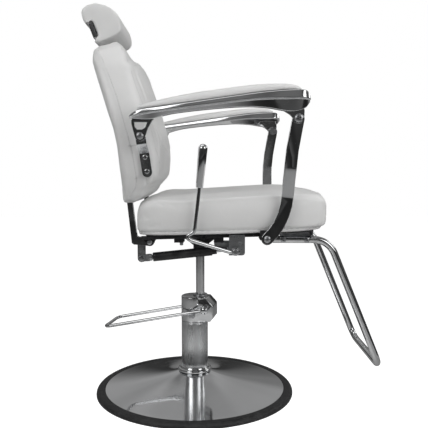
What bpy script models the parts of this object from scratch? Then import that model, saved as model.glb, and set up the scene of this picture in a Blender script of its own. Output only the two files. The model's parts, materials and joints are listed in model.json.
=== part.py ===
"""Barber chair on a hydraulic pump, built as separate closed solids.

Metres, Z up, the sitter faces +X. The origin is the base's centre on the floor.
Right is the sitter's right, which is -Y.
"""

import math
from bisect import bisect_right

import bmesh
import bpy
from mathutils import Matrix, Vector

# Fits that several pieces share
GAP = 0.0003
HOLE_FIT = 0.0003
SIDES = (("R", -1), ("L", 1))

# Round base
BASE_R = 0.290
RIM_WIDTH = 0.026
RIM_HEIGHT = 0.016
PLATE_THICK = 0.006
DOME_EDGE_Z = 0.0145
DOME_TOP_Z = 0.0622
DOME_WALL = 0.0016
DOME_FLARE = 1.7
DOME_RINGS = 7
HUB_R = 0.062
HUB_TOP_Z = 0.030
COLLAR_R = 0.0498
COLLAR_TOP_Z = 0.0780
BASE_STEPS = 36

# Pump: the casting is turned a little about the upright axis, as in the picture
PUMP_YAW = math.radians(-11.0)
CYLINDER_R = 0.039
CYLINDER_LOW_Z = 0.009
CYLINDER_TOP_Z = 0.2135
NECK_LOW_Z = 0.0775
NECK_TOP_Z = 0.0885
NECK_R = 0.0365
BORE_LOW_Z = 0.030
ROD_X = 0.0165
ROD_R = 0.0125
PISTON_R = 0.0165
PISTON_LOW_Z = 0.147
PISTON_TALL = 0.020
ROD_TOP_Z = 0.460
HEAD_R = 0.0392
HEAD_TOP_Z = 0.2865
BLOCK_OUT_X = 0.0615
BLOCK_TOP_Z = 0.2835
BLOCK_LOW_Z = 0.2165
BLOCK_HALF = 0.035
BLOCK_CHAMFER = 0.020
GLAND_R = 0.0215
GLAND_TALL = 0.005
PLUG_Z = 0.2350
PLUG_R = 0.0085
PLUG_OUT = 0.0465
PUMP_STEPS = 24

# Pedal
PEDAL_X = 0.041
PEDAL_Z = 0.2556
PEDAL_END_X = -0.2590
PEDAL_END_Z = 0.1942
PEDAL_HALF = 0.0604
PEDAL_ROD_R = 0.0048
PEDAL_BEND = 0.018
SHAFT_R = 0.0068
SHAFT_CAP_R = 0.0098
SHAFT_CAP = 0.0062
EYE_R = 0.0108
EYE_WIDE = 0.0105
BOSS_R = 0.0125
PLUNGER_X = 0.0370
PLUNGER_HALF = 0.0060
PLUNGER_OUT_Y = -0.0345
PLUNGER_DEEP = 0.012
PLUNGER_LOW_Z = 0.2265
PLUNGER_TOP_Z = 0.2390
PLUNGER_ROOM = 0.008

# Mount plate under the seat
MOUNT_LONG = 0.123
MOUNT_WIDE = 0.180
MOUNT_LOW_Z = 0.4645
MOUNT_THICK = 0.006
MOUNT_HUB_R = 0.020
MOUNT_HUB_LOW_Z = 0.415
MOUNT_RIB_X = 0.046
MOUNT_RIB_Y = 0.070
MOUNT_RIB_LOW_Z = 0.436
MOUNT_RIB_HALF = 0.003
MOUNT_BOLT_X = 0.0514
MOUNT_BOLT_Y = 0.076
MOUNT_BOLT_R = 0.005
MOUNT_NUT_R = 0.0095
MOUNT_NUT_TALL = 0.009
MOUNT_BOLT_LOW_Z = 0.4450
MOUNT_BOLT_TOP_Z = 0.4790

# Seat frame, board and cushion: the seat leans back by this slope
SEAT_Z = 0.4834
SEAT_SLOPE = 0.0262
SEAT_HALF = 0.259
RAIL_INSET = 0.044
RAIL_WIDE = 0.020
RAIL_IN = SEAT_HALF - RAIL_INSET
RAIL_OUT = RAIL_IN + RAIL_WIDE
RAIL_THICK = 0.008
RAIL_REAR_X = -0.132
RAIL_FRONT_X = 0.212
CROSS_HALF = 0.0125
BOARD_LOW = RAIL_THICK + GAP
BOARD_TOP = BOARD_LOW + 0.0065
BOARD_REAR_X = -0.122
BOARD_FRONT_X = 0.315
BOARD_INSET = 0.021
BOARD_HALF = SEAT_HALF - BOARD_INSET
BOARD_CORNER = 0.035
CUSHION_LOW = BOARD_LOW
SEAT_REAR_X = -0.1445
SEAT_FRONT_X = 0.3480
SEAT_TOP = ((-0.14, 0.582), (-0.089, 0.590), (0.016, 0.5965), (0.104, 0.602), (0.190, 0.608), (0.26, 0.6115), (0.34, 0.6125))
SEAT_FRONT_RISE = 0.005
SEAT_ROUND = 5.0
SEAT_ROUND_LOW = 11.0
SEAT_SIDE_ROUND = 9.0
SEAT_TOP_ROUND = 6.0
SEAT_FOOT_ROUND = 9.0
SEAT_CROWN = 0.004
SEAT_STATIONS = 15
SEAT_RING = 28

# Recline hinge and back brackets
HINGE_X = -0.1105
HINGE_Z = 0.4723
HINGE_BOLT_R = 0.005
HINGE_HEAD_R = 0.0070
HINGE_HEAD = 0.006
LUG_IN = RAIL_IN + GAP
LUG_OUT = LUG_IN + 0.006
LUG_R = 0.0100
FOOT_THICK = 0.020
FOOT_IN = RAIL_IN - FOOT_THICK
FOOT_OUT = RAIL_IN - GAP
FOOT_EYE_R = 0.0115
BAR_WIDE = 0.0135
BAR_LOW_Z = 0.4690
BAR_TOP_Z = 0.660
TAIL_THICK = 0.006
TAIL_IN = FOOT_IN - GAP - TAIL_THICK
TAIL_OUT = FOOT_IN - GAP
TAIL_HALF = 0.0105

# Lockable gas spring: the tube is pinned to the tail, the rod to the seat
GAS_Y = -(TAIL_IN + TAIL_OUT) / 2
GAS_REAR = (-0.1345, 0.4260)
GAS_FRONT = (0.1100, 0.4508)
GAS_R = 0.0119
GAS_BORE_R = 0.0074
GAS_ROD_R = 0.005
GAS_TUBE_START = 0.0300
GAS_TUBE_END = 0.1862
GAS_BUSH_R = 0.0092
GAS_BUSH = 0.012
GAS_BORE_START = 0.112
GAS_ROD_INSIDE = 0.160
GAS_PIN_R = 0.0042
GAS_EYE_R = 0.0065
GAS_EYE_HALF = 0.0068
FORK_GAP = 0.0034
FORK_WALL = 0.005
FORK_HALF = 0.0088
FORK_BRIDGE = 0.018

# Release lever
LEVER_OFF_SEAT = 0.019
LEVER_Y = -(SEAT_HALF + LEVER_OFF_SEAT)
LEVER_PIVOT = (0.1100, 0.4510)
LEVER_R = 0.005
LEVER_KNEE = (0.0066, 0.5040)
LEVER_HOOK = (-0.0150, 0.4935)
LEVER_TURN = (-0.0050, 0.4845)
LEVER_BENDS = (0.050, 0.020, 0.0070, 0.010)
LEVER_EYE_R = 0.0105
LEVER_OFF_RAIL = 0.0075
LEVER_EYE_WIDE = 0.010
LEVER_EYE_IN = RAIL_OUT + LEVER_OFF_RAIL
LEVER_EYE_OUT = LEVER_EYE_IN + LEVER_EYE_WIDE
GRIP_LOW = (0.0191, 0.6146)
GRIP_TOP = (0.0289, 0.7227)
GRIP_LOW_R = 0.0090
GRIP_TOP_R = 0.0116
GRIP_BORE = 0.060
BRACKET_X = (0.0938, 0.1349)
BRACKET_LOW_Z = 0.4397
BRACKET_THICK = 0.003
SHAFT_RIM = 0.006
SHAFT_RIM_R = 0.0078
SHAFT_TAIL = 0.0085
SHAFT_LIP = 0.0007
FINGER_LONG = 0.021
FINGER_THICK = 0.0045

# Front links and their ears
LINK_LOW = (0.1881, 0.4858)
LINK_HIGH = (0.2587, 0.7830)
LINK_PATH = ((0.1881, 0.4858), (0.2050, 0.5042), (0.2166, 0.5218), (0.2281, 0.5468), (0.2351, 0.5717), (0.2381, 0.6000),
             (0.2391, 0.6342), (0.2412, 0.6680), (0.2452, 0.7072), (0.2536, 0.7552), (0.2587, 0.7830))
LINK_HALF = 0.0150
LINK_THICK = 0.007
LINK_OFF_SEAT = 0.0123
LINK_STEP = 0.0302
LINK_LOW_IN = SEAT_HALF + LINK_OFF_SEAT
LINK_HIGH_IN = LINK_LOW_IN + LINK_STEP
LINK_JOG = (0.5880, 0.6610)
LINK_HOLE_R = 0.0085
PIVOT_BOLT_R = 0.0045
PIVOT_HEAD_R = 0.0088
PIVOT_HEAD = 0.0056
PIVOT_NUT = 0.0056
DRILL = 0.030
EAR_THICK = 0.0070
EAR_IN = LINK_LOW_IN - GAP - EAR_THICK
EAR_OUT = LINK_LOW_IN - GAP
EAR_FLANGE = 0.005

# Armrests
ARM_OFF_LINK = 0.0265
ARM_Y = LINK_HIGH_IN + ARM_OFF_LINK
ARM_HALF = 0.0340
ARM_SLANT = 0.0050
ARM_WEB_INSET = 0.0060
ARM_WEB_Y = ARM_Y - ARM_WEB_INSET
ARM_WEB_HALF = 0.0135
ARM_EDGE = 0.0022
ARM_REAR_X = -0.1460
ARM_FRONT_X = 0.2822
ARM_TOP = ((-0.146, 0.7855), (-0.137, 0.7925), (-0.117, 0.7999), (-0.071, 0.8066), (0.055, 0.8248), (0.156, 0.8387),
           (0.208, 0.8440), (0.2565, 0.8461), (0.2724, 0.8440), (0.2796, 0.8355), (0.2822, 0.8260))
ARM_CREASE = ((-0.146, 0.7835), (-0.117, 0.7901), (-0.071, 0.7973), (0.055, 0.8134), (0.156, 0.8247), (0.2487, 0.8273),
              (0.2724, 0.8265), (0.2822, 0.8240))
ARM_LOW = ((-0.146, 0.7815), (-0.117, 0.7790), (-0.0915, 0.7800), (-0.0726, 0.7858), (-0.037, 0.7933), (0.055, 0.8037),
           (0.132, 0.8084), (0.1835, 0.8058), (0.222, 0.7995), (0.250, 0.7985), (0.2724, 0.8065), (0.2822, 0.8190))
ARM_PIVOT = (-0.1226, 0.7404)
ARM_LUG_IN = LINK_HIGH_IN + LINK_THICK + GAP
ARM_LUG_OUT = ARM_LUG_IN + 0.008
FRONT_LUG_R = 0.0132
REAR_LUG_R = 0.0125
ARM_STATIONS = 17
PAD_IN = 0.0005
PAD_HALF = ARM_HALF - ARM_SLANT - PAD_IN
PAD_TOP = ((-0.128, 0.806), (-0.120, 0.8126), (-0.097, 0.8178), (-0.073, 0.8243), (0.022, 0.8424), (0.093, 0.8516),
           (0.158, 0.8596), (0.222, 0.8617), (0.247, 0.8585), (0.262, 0.8520))
PAD_REAR_X = -0.128
PAD_FRONT_X = 0.262

# Straps that carry the arms on the sides of the back
STRAP_HALF = 0.0122
STRAP_THICK = 0.0060
STRAP_LOW = (-0.1098, 0.6525)
STRAP_OFF_BACK = 0.0020
BACK_WIDER = 0.0115
BACK_WIDE = SEAT_HALF + BACK_WIDER
STRAP_LOW_IN = BACK_WIDE + STRAP_OFF_BACK
STRAP_HIGH_IN = LINK_HIGH_IN + LINK_THICK - STRAP_THICK
STRAP_JOG = (0.7000, 0.7210)
STRAP_SCREWS = ((-0.1147, 0.6900), (-0.1101, 0.6550))
STRAP_SCREW_R = 0.0062
STRAP_SCREW = 0.0032

# Backrest: rear edge, front edge at the side, front at the middle, and half width, each against height
BACK_LOW_Z = 0.580
BACK_TOP_Z = 0.9885
BACK_REAR = ((0.58, -0.1713), (0.653, -0.1810), (0.762, -0.2012), (0.837, -0.2222), (0.895, -0.2410), (0.950, -0.2590),
             (0.972, -0.2620), (0.989, -0.2540))
BACK_EDGE = ((0.58, -0.1330), (0.595, -0.1080), (0.633, -0.0810), (0.658, -0.0740), (0.690, -0.0765), (0.733, -0.0915),
             (0.832, -0.1263), (0.911, -0.1503), (0.945, -0.1600), (0.968, -0.1690), (0.989, -0.1860))
BACK_MIDDLE = ((0.58, -0.1330), (0.595, -0.1080), (0.633, -0.0840), (0.660, -0.0720), (0.694, -0.0700), (0.760, -0.0815),
               (0.855, -0.1100), (0.900, -0.1280), (0.930, -0.1440), (0.955, -0.1620), (0.989, -0.1880))
BACK_SPREAD = ((0.58, 0.8577), (0.60, 0.9242), (0.640, 0.9834), (0.690, 1.0), (0.735, 1.0), (0.80, 0.9760),
               (0.869, 0.9131), (0.92, 0.8429), (0.955, 0.7542), (0.975, 0.6654), (0.989, 0.5176))
BACK_CROWN = 0.008
BACK_ROUND = 5.5
BACK_STATIONS = 16
BACK_RING = 32
POCKET = 0.0006

# Headrest
HEAD_HALF = 0.120
HEAD_OUTLINE = ((-0.2630, 1.1023), (-0.2844, 1.0965), (-0.2965, 1.0873), (-0.3006, 1.0783), (-0.2982, 1.0639),
                (-0.2931, 1.0522), (-0.2871, 1.0458), (-0.2829, 1.0513), (-0.2718, 1.0554), (-0.2683, 1.0533),
                (-0.2536, 1.0160), (-0.2551, 1.0115), (-0.2667, 1.0004), (-0.2627, 0.9974), (-0.2539, 0.9973),
                (-0.2217, 1.0092), (-0.2003, 1.0197), (-0.1926, 1.0275), (-0.1907, 1.0406), (-0.1944, 1.0563),
                (-0.1980, 1.0675), (-0.2074, 1.0798), (-0.2206, 1.0894), (-0.2365, 1.0971))
HEAD_EDGE = 0.008
HEAD_MIDDLE = (-0.2395, 1.0515)
HEAD_REACH = 0.055
HEAD_BAR_LOW = (-0.2610, 1.0110)
HEAD_BAR_HIGH = (-0.2755, 1.0490)
HEAD_BAR_THICK = 0.0115
HEAD_BAR_HALF = 0.1175
POST_THICK = 0.005
POST_LEAN = -0.275
POST_HALF = 0.018
POST_LOW_Z = 0.795
POST_MEETS_Z = 1.0150
POST_TOP_Z = 1.0330
SLEEVE_LOW_Z = 0.925
SLEEVE_TALL = 0.062
SLEEVE_WALL = 0.0022
SLEEVE_FIT = 0.0005
SLEEVE_ROOM = 0.0004
POST_ROOM = 0.010

# Footrest
FOOT_R = 0.0098
FOOT_HALF = 0.151
FOOT_START = (0.196, 0.4712)
FOOT_CORNER = (0.3663, 0.4698)
FOOT_END = (0.5098, 0.1205)
FOOT_BEND = 0.062
FOOT_TURN = 0.034
FOOT_BOLTS_X = (0.2423, 0.3050)
FOOT_BOLT_R = 0.0040
FOOT_BOLT_HEAD_R = 0.0078
CHANNEL_X = (0.2340, 0.3217)
CHANNEL_WALL = 0.004
CHANNEL_OVER = 0.017
CHANNEL_HALF = FOOT_HALF + CHANNEL_OVER
CHEEK_DROP = 0.0112


def seat_line(x):
    """Underside of the seat frame at x."""
    return SEAT_Z + (x - ROD_X) * SEAT_SLOPE


def smooth(points, x):
    """Value at x of a smooth line through points, each (x, value)."""
    xs = [point[0] for point in points]
    last = len(points) - 1
    i = min(max(bisect_right(xs, x) - 1, 0), last - 1)

    def slope(k):
        low, high = points[max(k - 1, 0)], points[min(k + 1, last)]
        return (high[1] - low[1]) / (high[0] - low[0])

    span = xs[i + 1] - xs[i]
    t = min(max((x - xs[i]) / span, 0.0), 1.0)
    start, end = points[i][1], points[i + 1][1]
    rise = start + (end - start) * (3 * t * t - 2 * t * t * t)
    bend_in = slope(i) * span * (t * t * t - 2 * t * t + t)
    bend_out = slope(i + 1) * span * (t * t * t - t * t)
    return rise + bend_in + bend_out


def between(low, high, t):
    """The number a share t of the way from low to high."""
    return low + (high - low) * t


def power(value, exponent):
    """A signed power, which turns a circle into a rounded box."""
    return math.copysign(abs(value) ** exponent, value)


def clear_scene():
    """Empties the scene that Blender starts with."""
    for obj in list(bpy.data.objects):
        bpy.data.objects.remove(obj, do_unlink=True)


def make_material(name, colour, roughness, metallic):
    """A plain Principled material."""
    material = bpy.data.materials.new(name)
    material.use_nodes = True
    shader = material.node_tree.nodes["Principled BSDF"]
    shader.inputs["Base Color"].default_value = (*colour, 1.0)
    shader.inputs["Roughness"].default_value = roughness
    shader.inputs["Metallic"].default_value = metallic
    return material


def add_object(name, bm, material, origin=(0.0, 0.0, 0.0)):
    """Makes an object of a bmesh in world space, with its origin where its joint needs it."""
    bmesh.ops.remove_doubles(bm, verts=bm.verts, dist=1e-6)
    bmesh.ops.recalc_face_normals(bm, faces=bm.faces)
    bmesh.ops.translate(bm, verts=bm.verts, vec=-Vector(origin))
    mesh = bpy.data.meshes.new(name)
    bm.to_mesh(mesh)
    bm.free()
    obj = bpy.data.objects.new(name, mesh)
    obj.location = origin
    obj.data.materials.append(material)
    bpy.context.scene.collection.objects.link(obj)
    return obj


def loft(sections, closed=False):
    """A bmesh skinned over rings of points; the ends get caps unless the row of rings closes on itself."""
    bm = bmesh.new()
    rings = [[bm.verts.new(point) for point in section] for section in sections]
    pairs = list(zip(rings, rings[1:]))
    if closed:
        pairs.append((rings[-1], rings[0]))
    for first, second in pairs:
        for i, corner in enumerate(first):
            j = (i + 1) % len(first)
            bm.faces.new((corner, first[j], second[j], second[i]))
    if not closed:
        bm.faces.new(rings[0][::-1])
        bm.faces.new(rings[-1])
    return bm


def prism(outline, low_y, high_y):
    """An outline of (x, z) points given thickness along Y."""
    return loft([[(x, y, z) for x, z in outline] for y in (low_y, high_y)])


def slab(outline, low, high):
    """An outline of (x, y) points between two heights, each a function of x."""
    return loft([[(x, y, height(x)) for x, y in outline] for height in (low, high)])


def revolve(profile, steps, matrix=None):
    """A closed profile of (radius, height) points turned about Z, then moved by a matrix."""
    rings = []
    for i in range(steps):
        angle = 2 * math.pi * i / steps
        rings.append([(r * math.cos(angle), r * math.sin(angle), z) for r, z in profile])
    bm = loft(rings, closed=True)
    bmesh.ops.remove_doubles(bm, verts=bm.verts, dist=1e-6)
    thin = [edge for edge in bm.edges if edge.is_wire]
    bmesh.ops.delete(bm, geom=thin, context="EDGES")
    if matrix:
        bmesh.ops.transform(bm, matrix=matrix, verts=bm.verts)
    return bm


def along_y(x, z, y=0.0):
    """Turns a Z axis solid to lie along Y at (x, z); its height becomes y."""
    return Matrix.Translation((x, y, z)) @ Matrix.Rotation(math.radians(-90.0), 4, "X")


def rod_between(start, end, radius, steps):
    """A round bar between two points."""
    start, end = Vector(start), Vector(end)
    turn = (end - start).to_track_quat("Z", "Y").to_matrix().to_4x4()
    profile = [(0.0, 0.0), (radius, 0.0), (radius, (end - start).length), (0.0, (end - start).length)]
    return revolve(profile, steps, Matrix.Translation(start) @ turn)


def box(low, high):
    """A box between two corners."""
    return prism([(low[0], low[2]), (high[0], low[2]), (high[0], high[2]), (low[0], high[2])], low[1], high[1])


def arc(centre, radius, start, end, steps):
    """Points of an arc in the X, Z plane, angles in degrees."""
    points = []
    for i in range(steps + 1):
        angle = math.radians(between(start, end, i / steps))
        points.append((centre[0] + radius * math.cos(angle), centre[1] + radius * math.sin(angle)))
    return points


def rounded_rect(half_x, half_y, radius, steps=4):
    """A rectangle with rounded corners about the origin."""
    points = []
    for sx, sy, start in ((1, 1, 0), (-1, 1, 90), (-1, -1, 180), (1, -1, 270)):
        centre = (sx * (half_x - radius), sy * (half_y - radius))
        points += arc(centre, radius, start, start + 90, steps)
    return points


def bend_path(corners, radii, steps=6):
    """A path through corners with each inner corner turned into an arc of its radius."""
    points = [Vector(corners[0])]
    for i in range(1, len(corners) - 1):
        corner = Vector(corners[i])
        back = (Vector(corners[i - 1]) - corner).normalized()
        ahead = (Vector(corners[i + 1]) - corner).normalized()
        half = back.angle(ahead) / 2
        reach = radii[i - 1] / math.tan(half)
        centre = corner + (back + ahead).normalized() * radii[i - 1] / math.sin(half)
        first = corner + back * reach - centre
        last = corner + ahead * reach - centre
        for k in range(steps + 1):
            points.append(centre + first.normalized().slerp(last.normalized(), k / steps) * radii[i - 1])
    points.append(Vector(corners[-1]))
    return points


def tube(path, radius, steps):
    """A round bar that follows a path."""
    tangents = []
    for i in range(len(path)):
        ahead = path[min(i + 1, len(path) - 1)]
        tangents.append((ahead - path[max(i - 1, 0)]).normalized())
    normal = tangents[0].orthogonal().normalized()
    sections = []
    for point, tangent in zip(path, tangents):
        normal = (normal - tangent * normal.dot(tangent)).normalized()
        side = tangent.cross(normal)
        ring = []
        for k in range(steps):
            angle = 2 * math.pi * k / steps
            ring.append(point + (normal * math.cos(angle) + side * math.sin(angle)) * radius)
        sections.append(ring)
    return loft(sections)


def ribbon(path, half, thick, inner_y, sign):
    """A flat strap along (x, z) points with round ends; inner_y gives its inner face against height."""
    path = [Vector((x, z)) for x, z in path]
    start = (path[1] - path[0]).normalized()
    end = (path[-1] - path[-2]).normalized()
    turns = [math.radians(angle) for angle in (78, 55, 28)]
    rows = [(path[0] - start * half * math.sin(a), start, half * math.cos(a)) for a in turns]
    for i, point in enumerate(path):
        tangent = (path[min(i + 1, len(path) - 1)] - path[max(i - 1, 0)]).normalized()
        rows.append((point, tangent, half))
    rows += [(path[-1] + end * half * math.sin(a), end, half * math.cos(a)) for a in reversed(turns)]
    sections = []
    for point, tangent, wide in rows:
        across = Vector((tangent.y, -tangent.x)) * wide
        left, right = point - across, point + across
        inner = sign * inner_y(point.y)
        outer = inner + sign * thick
        sections.append([(left.x, inner, left.y), (right.x, inner, right.y), (right.x, outer, right.y), (left.x, outer, left.y)])
    return loft(sections)


def join(target, bm, operation="UNION"):
    """Adds a solid to an object, or cuts it away."""
    tool = add_object("tool", bm, target.data.materials[0])
    modifier = target.modifiers.new("join", "BOOLEAN")
    modifier.object = tool
    modifier.operation = operation
    modifier.solver = "EXACT"
    bpy.context.view_layer.update()
    graph = bpy.context.evaluated_depsgraph_get()
    mesh = bpy.data.meshes.new_from_object(target.evaluated_get(graph))
    target.modifiers.clear()
    old = target.data
    target.data = mesh
    mesh.name = target.name
    bpy.data.meshes.remove(old)
    bpy.data.objects.remove(tool, do_unlink=True)


def cut(target, bm):
    """Cuts a solid away from an object."""
    join(target, bm, "DIFFERENCE")


def pivot_bolt(name, material, point, sign, head_face, end_face, nut, radius, head_r):
    """A bolt across the chair: a domed head outside, a shank, and a nut within; the faces are distances from the middle."""
    low, high = end_face, head_face
    profile = [(0.0, low - nut), (head_r, low - nut), (head_r, low), (radius, low), (radius, high), (head_r, high)]
    profile += [(head_r, high + PIVOT_HEAD * 0.45), (head_r * 0.60, high + PIVOT_HEAD), (0.0, high + PIVOT_HEAD)]
    turn = Matrix.Translation((point[0], 0.0, point[1])) @ Matrix.Rotation(math.radians(-90.0 * sign), 4, "X")
    return add_object(name, revolve(profile, 8, turn), material, (point[0], sign * high, point[1]))


def build_base(steel, chrome, rubber):
    """Floor plate, chrome dome, rubber rim and the collar at the pump's foot."""
    dome_r = BASE_R - RIM_WIDTH - GAP
    plate_r = dome_r - DOME_WALL - GAP
    hub_bore = CYLINDER_R + 0.0005
    profile = [(0.0, 0.0), (plate_r, 0.0), (plate_r, PLATE_THICK), (HUB_R * 1.25, PLATE_THICK), (HUB_R, HUB_TOP_Z)]
    profile += [(hub_bore, HUB_TOP_Z), (hub_bore, CYLINDER_LOW_Z - GAP), (0.0, CYLINDER_LOW_Z - GAP)]
    add_object("base_plate", revolve(profile, BASE_STEPS), steel)

    hole_r = CYLINDER_R + 0.003
    crown = []
    for i in range(DOME_RINGS):
        t = i / (DOME_RINGS - 1)
        crown.append((between(dome_r, hole_r, t), between(DOME_EDGE_Z, DOME_TOP_Z, t ** DOME_FLARE)))
    under = [(r - DOME_WALL * 0.3, z - DOME_WALL) for r, z in reversed(crown[1:-1])]
    profile = [(dome_r, GAP * 4)] + crown + [(hole_r, DOME_TOP_Z - DOME_WALL)] + under
    profile += [(dome_r - DOME_WALL, DOME_EDGE_Z - DOME_WALL), (dome_r - DOME_WALL, GAP * 4)]
    add_object("base_cover", revolve(profile, BASE_STEPS), chrome)

    inner = BASE_R - RIM_WIDTH
    profile = [(inner, 0.0), (BASE_R - 0.002, 0.0), (BASE_R, 0.002), (BASE_R, RIM_HEIGHT * 0.45)]
    profile += [(BASE_R - 0.0025, RIM_HEIGHT * 0.75), (BASE_R - 0.009, RIM_HEIGHT * 0.96), (inner + 0.003, RIM_HEIGHT)]
    profile += [(inner, RIM_HEIGHT - 0.001)]
    add_object("base_rim_trim", revolve(profile, BASE_STEPS), rubber)

    low = DOME_TOP_Z + GAP
    inner = CYLINDER_R + GAP
    profile = [(inner, low), (COLLAR_R - 0.001, low), (COLLAR_R, low + 0.0015), (COLLAR_R, low + 0.0055)]
    profile += [(COLLAR_R - 0.002, low + 0.008), (inner + 0.0045, low + 0.010), (inner + 0.003, COLLAR_TOP_Z - 0.0015)]
    profile += [(inner, COLLAR_TOP_Z)]
    add_object("pump_collar", revolve(profile, PUMP_STEPS), chrome)


def build_pump(satin, chrome, zinc, steel):
    """Pump cylinder, head, plug, gland, plunger, piston rod, and the pedal with its shaft."""
    yaw = Matrix.Rotation(PUMP_YAW, 4, "Z")
    rod_axis = Matrix.Translation((ROD_X, 0.0, 0.0))

    profile = [(0.0, CYLINDER_LOW_Z), (CYLINDER_R, CYLINDER_LOW_Z), (CYLINDER_R, NECK_LOW_Z), (NECK_R, NECK_LOW_Z)]
    profile += [(NECK_R, NECK_TOP_Z), (CYLINDER_R, NECK_TOP_Z), (CYLINDER_R, CYLINDER_TOP_Z), (0.0, CYLINDER_TOP_Z)]
    body = add_object("pump_cylinder", revolve(profile, PUMP_STEPS), satin)
    bore_r = PISTON_R + 0.0005
    bore = [(0.0, BORE_LOW_Z), (bore_r, BORE_LOW_Z), (bore_r, CYLINDER_TOP_Z + 0.01), (0.0, CYLINDER_TOP_Z + 0.01)]
    cut(body, revolve(bore, PUMP_STEPS, rod_axis))

    low = CYLINDER_TOP_Z + GAP
    profile = [(0.0, low), (HEAD_R, low), (HEAD_R, HEAD_TOP_Z - 0.002), (HEAD_R - 0.002, HEAD_TOP_Z), (0.0, HEAD_TOP_Z)]
    head = add_object("pump_head", revolve(profile, PUMP_STEPS, yaw), chrome)
    block = [(0.0, BLOCK_LOW_Z), (BLOCK_OUT_X - BLOCK_CHAMFER * 0.4, BLOCK_LOW_Z), (BLOCK_OUT_X, BLOCK_LOW_Z + BLOCK_CHAMFER * 0.5)]
    block += [(BLOCK_OUT_X, BLOCK_TOP_Z - BLOCK_CHAMFER * 1.1), (BLOCK_OUT_X - BLOCK_CHAMFER, BLOCK_TOP_Z), (0.0, BLOCK_TOP_Z)]
    solid = prism(block, -BLOCK_HALF, BLOCK_HALF)
    bmesh.ops.transform(solid, matrix=yaw, verts=solid.verts)
    join(head, solid)
    eye_in = PEDAL_HALF - EYE_WIDE / 2
    boss_end = eye_in - GAP
    across = yaw @ along_y(PEDAL_X, PEDAL_Z)
    boss = [(0.0, -boss_end), (BOSS_R, -boss_end), (BOSS_R, boss_end), (0.0, boss_end)]
    join(head, revolve(boss, 16, across))
    stud = [(0.0, 0.030), (PLUG_R + 0.002, 0.030), (PLUG_R + 0.002, PLUG_OUT - 0.006), (0.0, PLUG_OUT - 0.006)]
    toward = yaw @ Matrix.Translation((0.0, 0.0, PLUG_Z)) @ Matrix.Rotation(math.radians(90.0), 4, "X")
    join(head, revolve(stud, 16, toward))
    rod_fit = ROD_R + HOLE_FIT
    hole = [(0.0, low - 0.01), (rod_fit, low - 0.01), (rod_fit, HEAD_TOP_Z + 0.01), (0.0, HEAD_TOP_Z + 0.01)]
    cut(head, revolve(hole, PUMP_STEPS, rod_axis))
    shaft_fit = SHAFT_R + HOLE_FIT
    hole = [(0.0, -boss_end - 0.01), (shaft_fit, -boss_end - 0.01), (shaft_fit, boss_end + 0.01), (0.0, boss_end + 0.01)]
    cut(head, revolve(hole, 16, across))
    side = PLUNGER_HALF + GAP
    pocket = box((PLUNGER_X - side, PLUNGER_OUT_Y - 0.01, PLUNGER_LOW_Z - PLUNGER_ROOM),
                 (PLUNGER_X + side, PLUNGER_OUT_Y + PLUNGER_DEEP + GAP, PLUNGER_TOP_Z + GAP))
    bmesh.ops.transform(pocket, matrix=yaw, verts=pocket.verts)
    cut(head, pocket)

    plug = [(0.0, PLUG_OUT - 0.006 + GAP), (PLUG_R, PLUG_OUT - 0.006 + GAP), (PLUG_R, PLUG_OUT - 0.001), (PLUG_R - 0.0012, PLUG_OUT), (0.0, PLUG_OUT)]
    add_object("pump_plug", revolve(plug, 6, toward), zinc)
    top = HEAD_TOP_Z + GAP
    gland = [(rod_fit, top), (GLAND_R, top), (GLAND_R, top + GLAND_TALL * 0.7), (GLAND_R - 0.0015, top + GLAND_TALL), (rod_fit, top + GLAND_TALL)]
    add_object("rod_gland", revolve(gland, PUMP_STEPS, rod_axis), zinc)
    plunger = box((PLUNGER_X - PLUNGER_HALF, PLUNGER_OUT_Y, PLUNGER_LOW_Z), (PLUNGER_X + PLUNGER_HALF, PLUNGER_OUT_Y + PLUNGER_DEEP, PLUNGER_TOP_Z))
    bmesh.ops.transform(plunger, matrix=yaw, verts=plunger.verts)
    middle = yaw @ Vector((PLUNGER_X, PLUNGER_OUT_Y + PLUNGER_DEEP / 2, (PLUNGER_LOW_Z + PLUNGER_TOP_Z) / 2))
    add_object("pump_plunger", plunger, steel, middle)

    piston_top = PISTON_LOW_Z + PISTON_TALL
    profile = [(0.0, PISTON_LOW_Z), (PISTON_R, PISTON_LOW_Z), (PISTON_R, piston_top), (ROD_R, piston_top + 0.001)]
    profile += [(ROD_R, ROD_TOP_Z - 0.001), (ROD_R - 0.001, ROD_TOP_Z), (0.0, ROD_TOP_Z)]
    add_object("piston_rod", revolve(profile, PUMP_STEPS, rod_axis), chrome, (ROD_X, 0.0, PISTON_LOW_Z))

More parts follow.
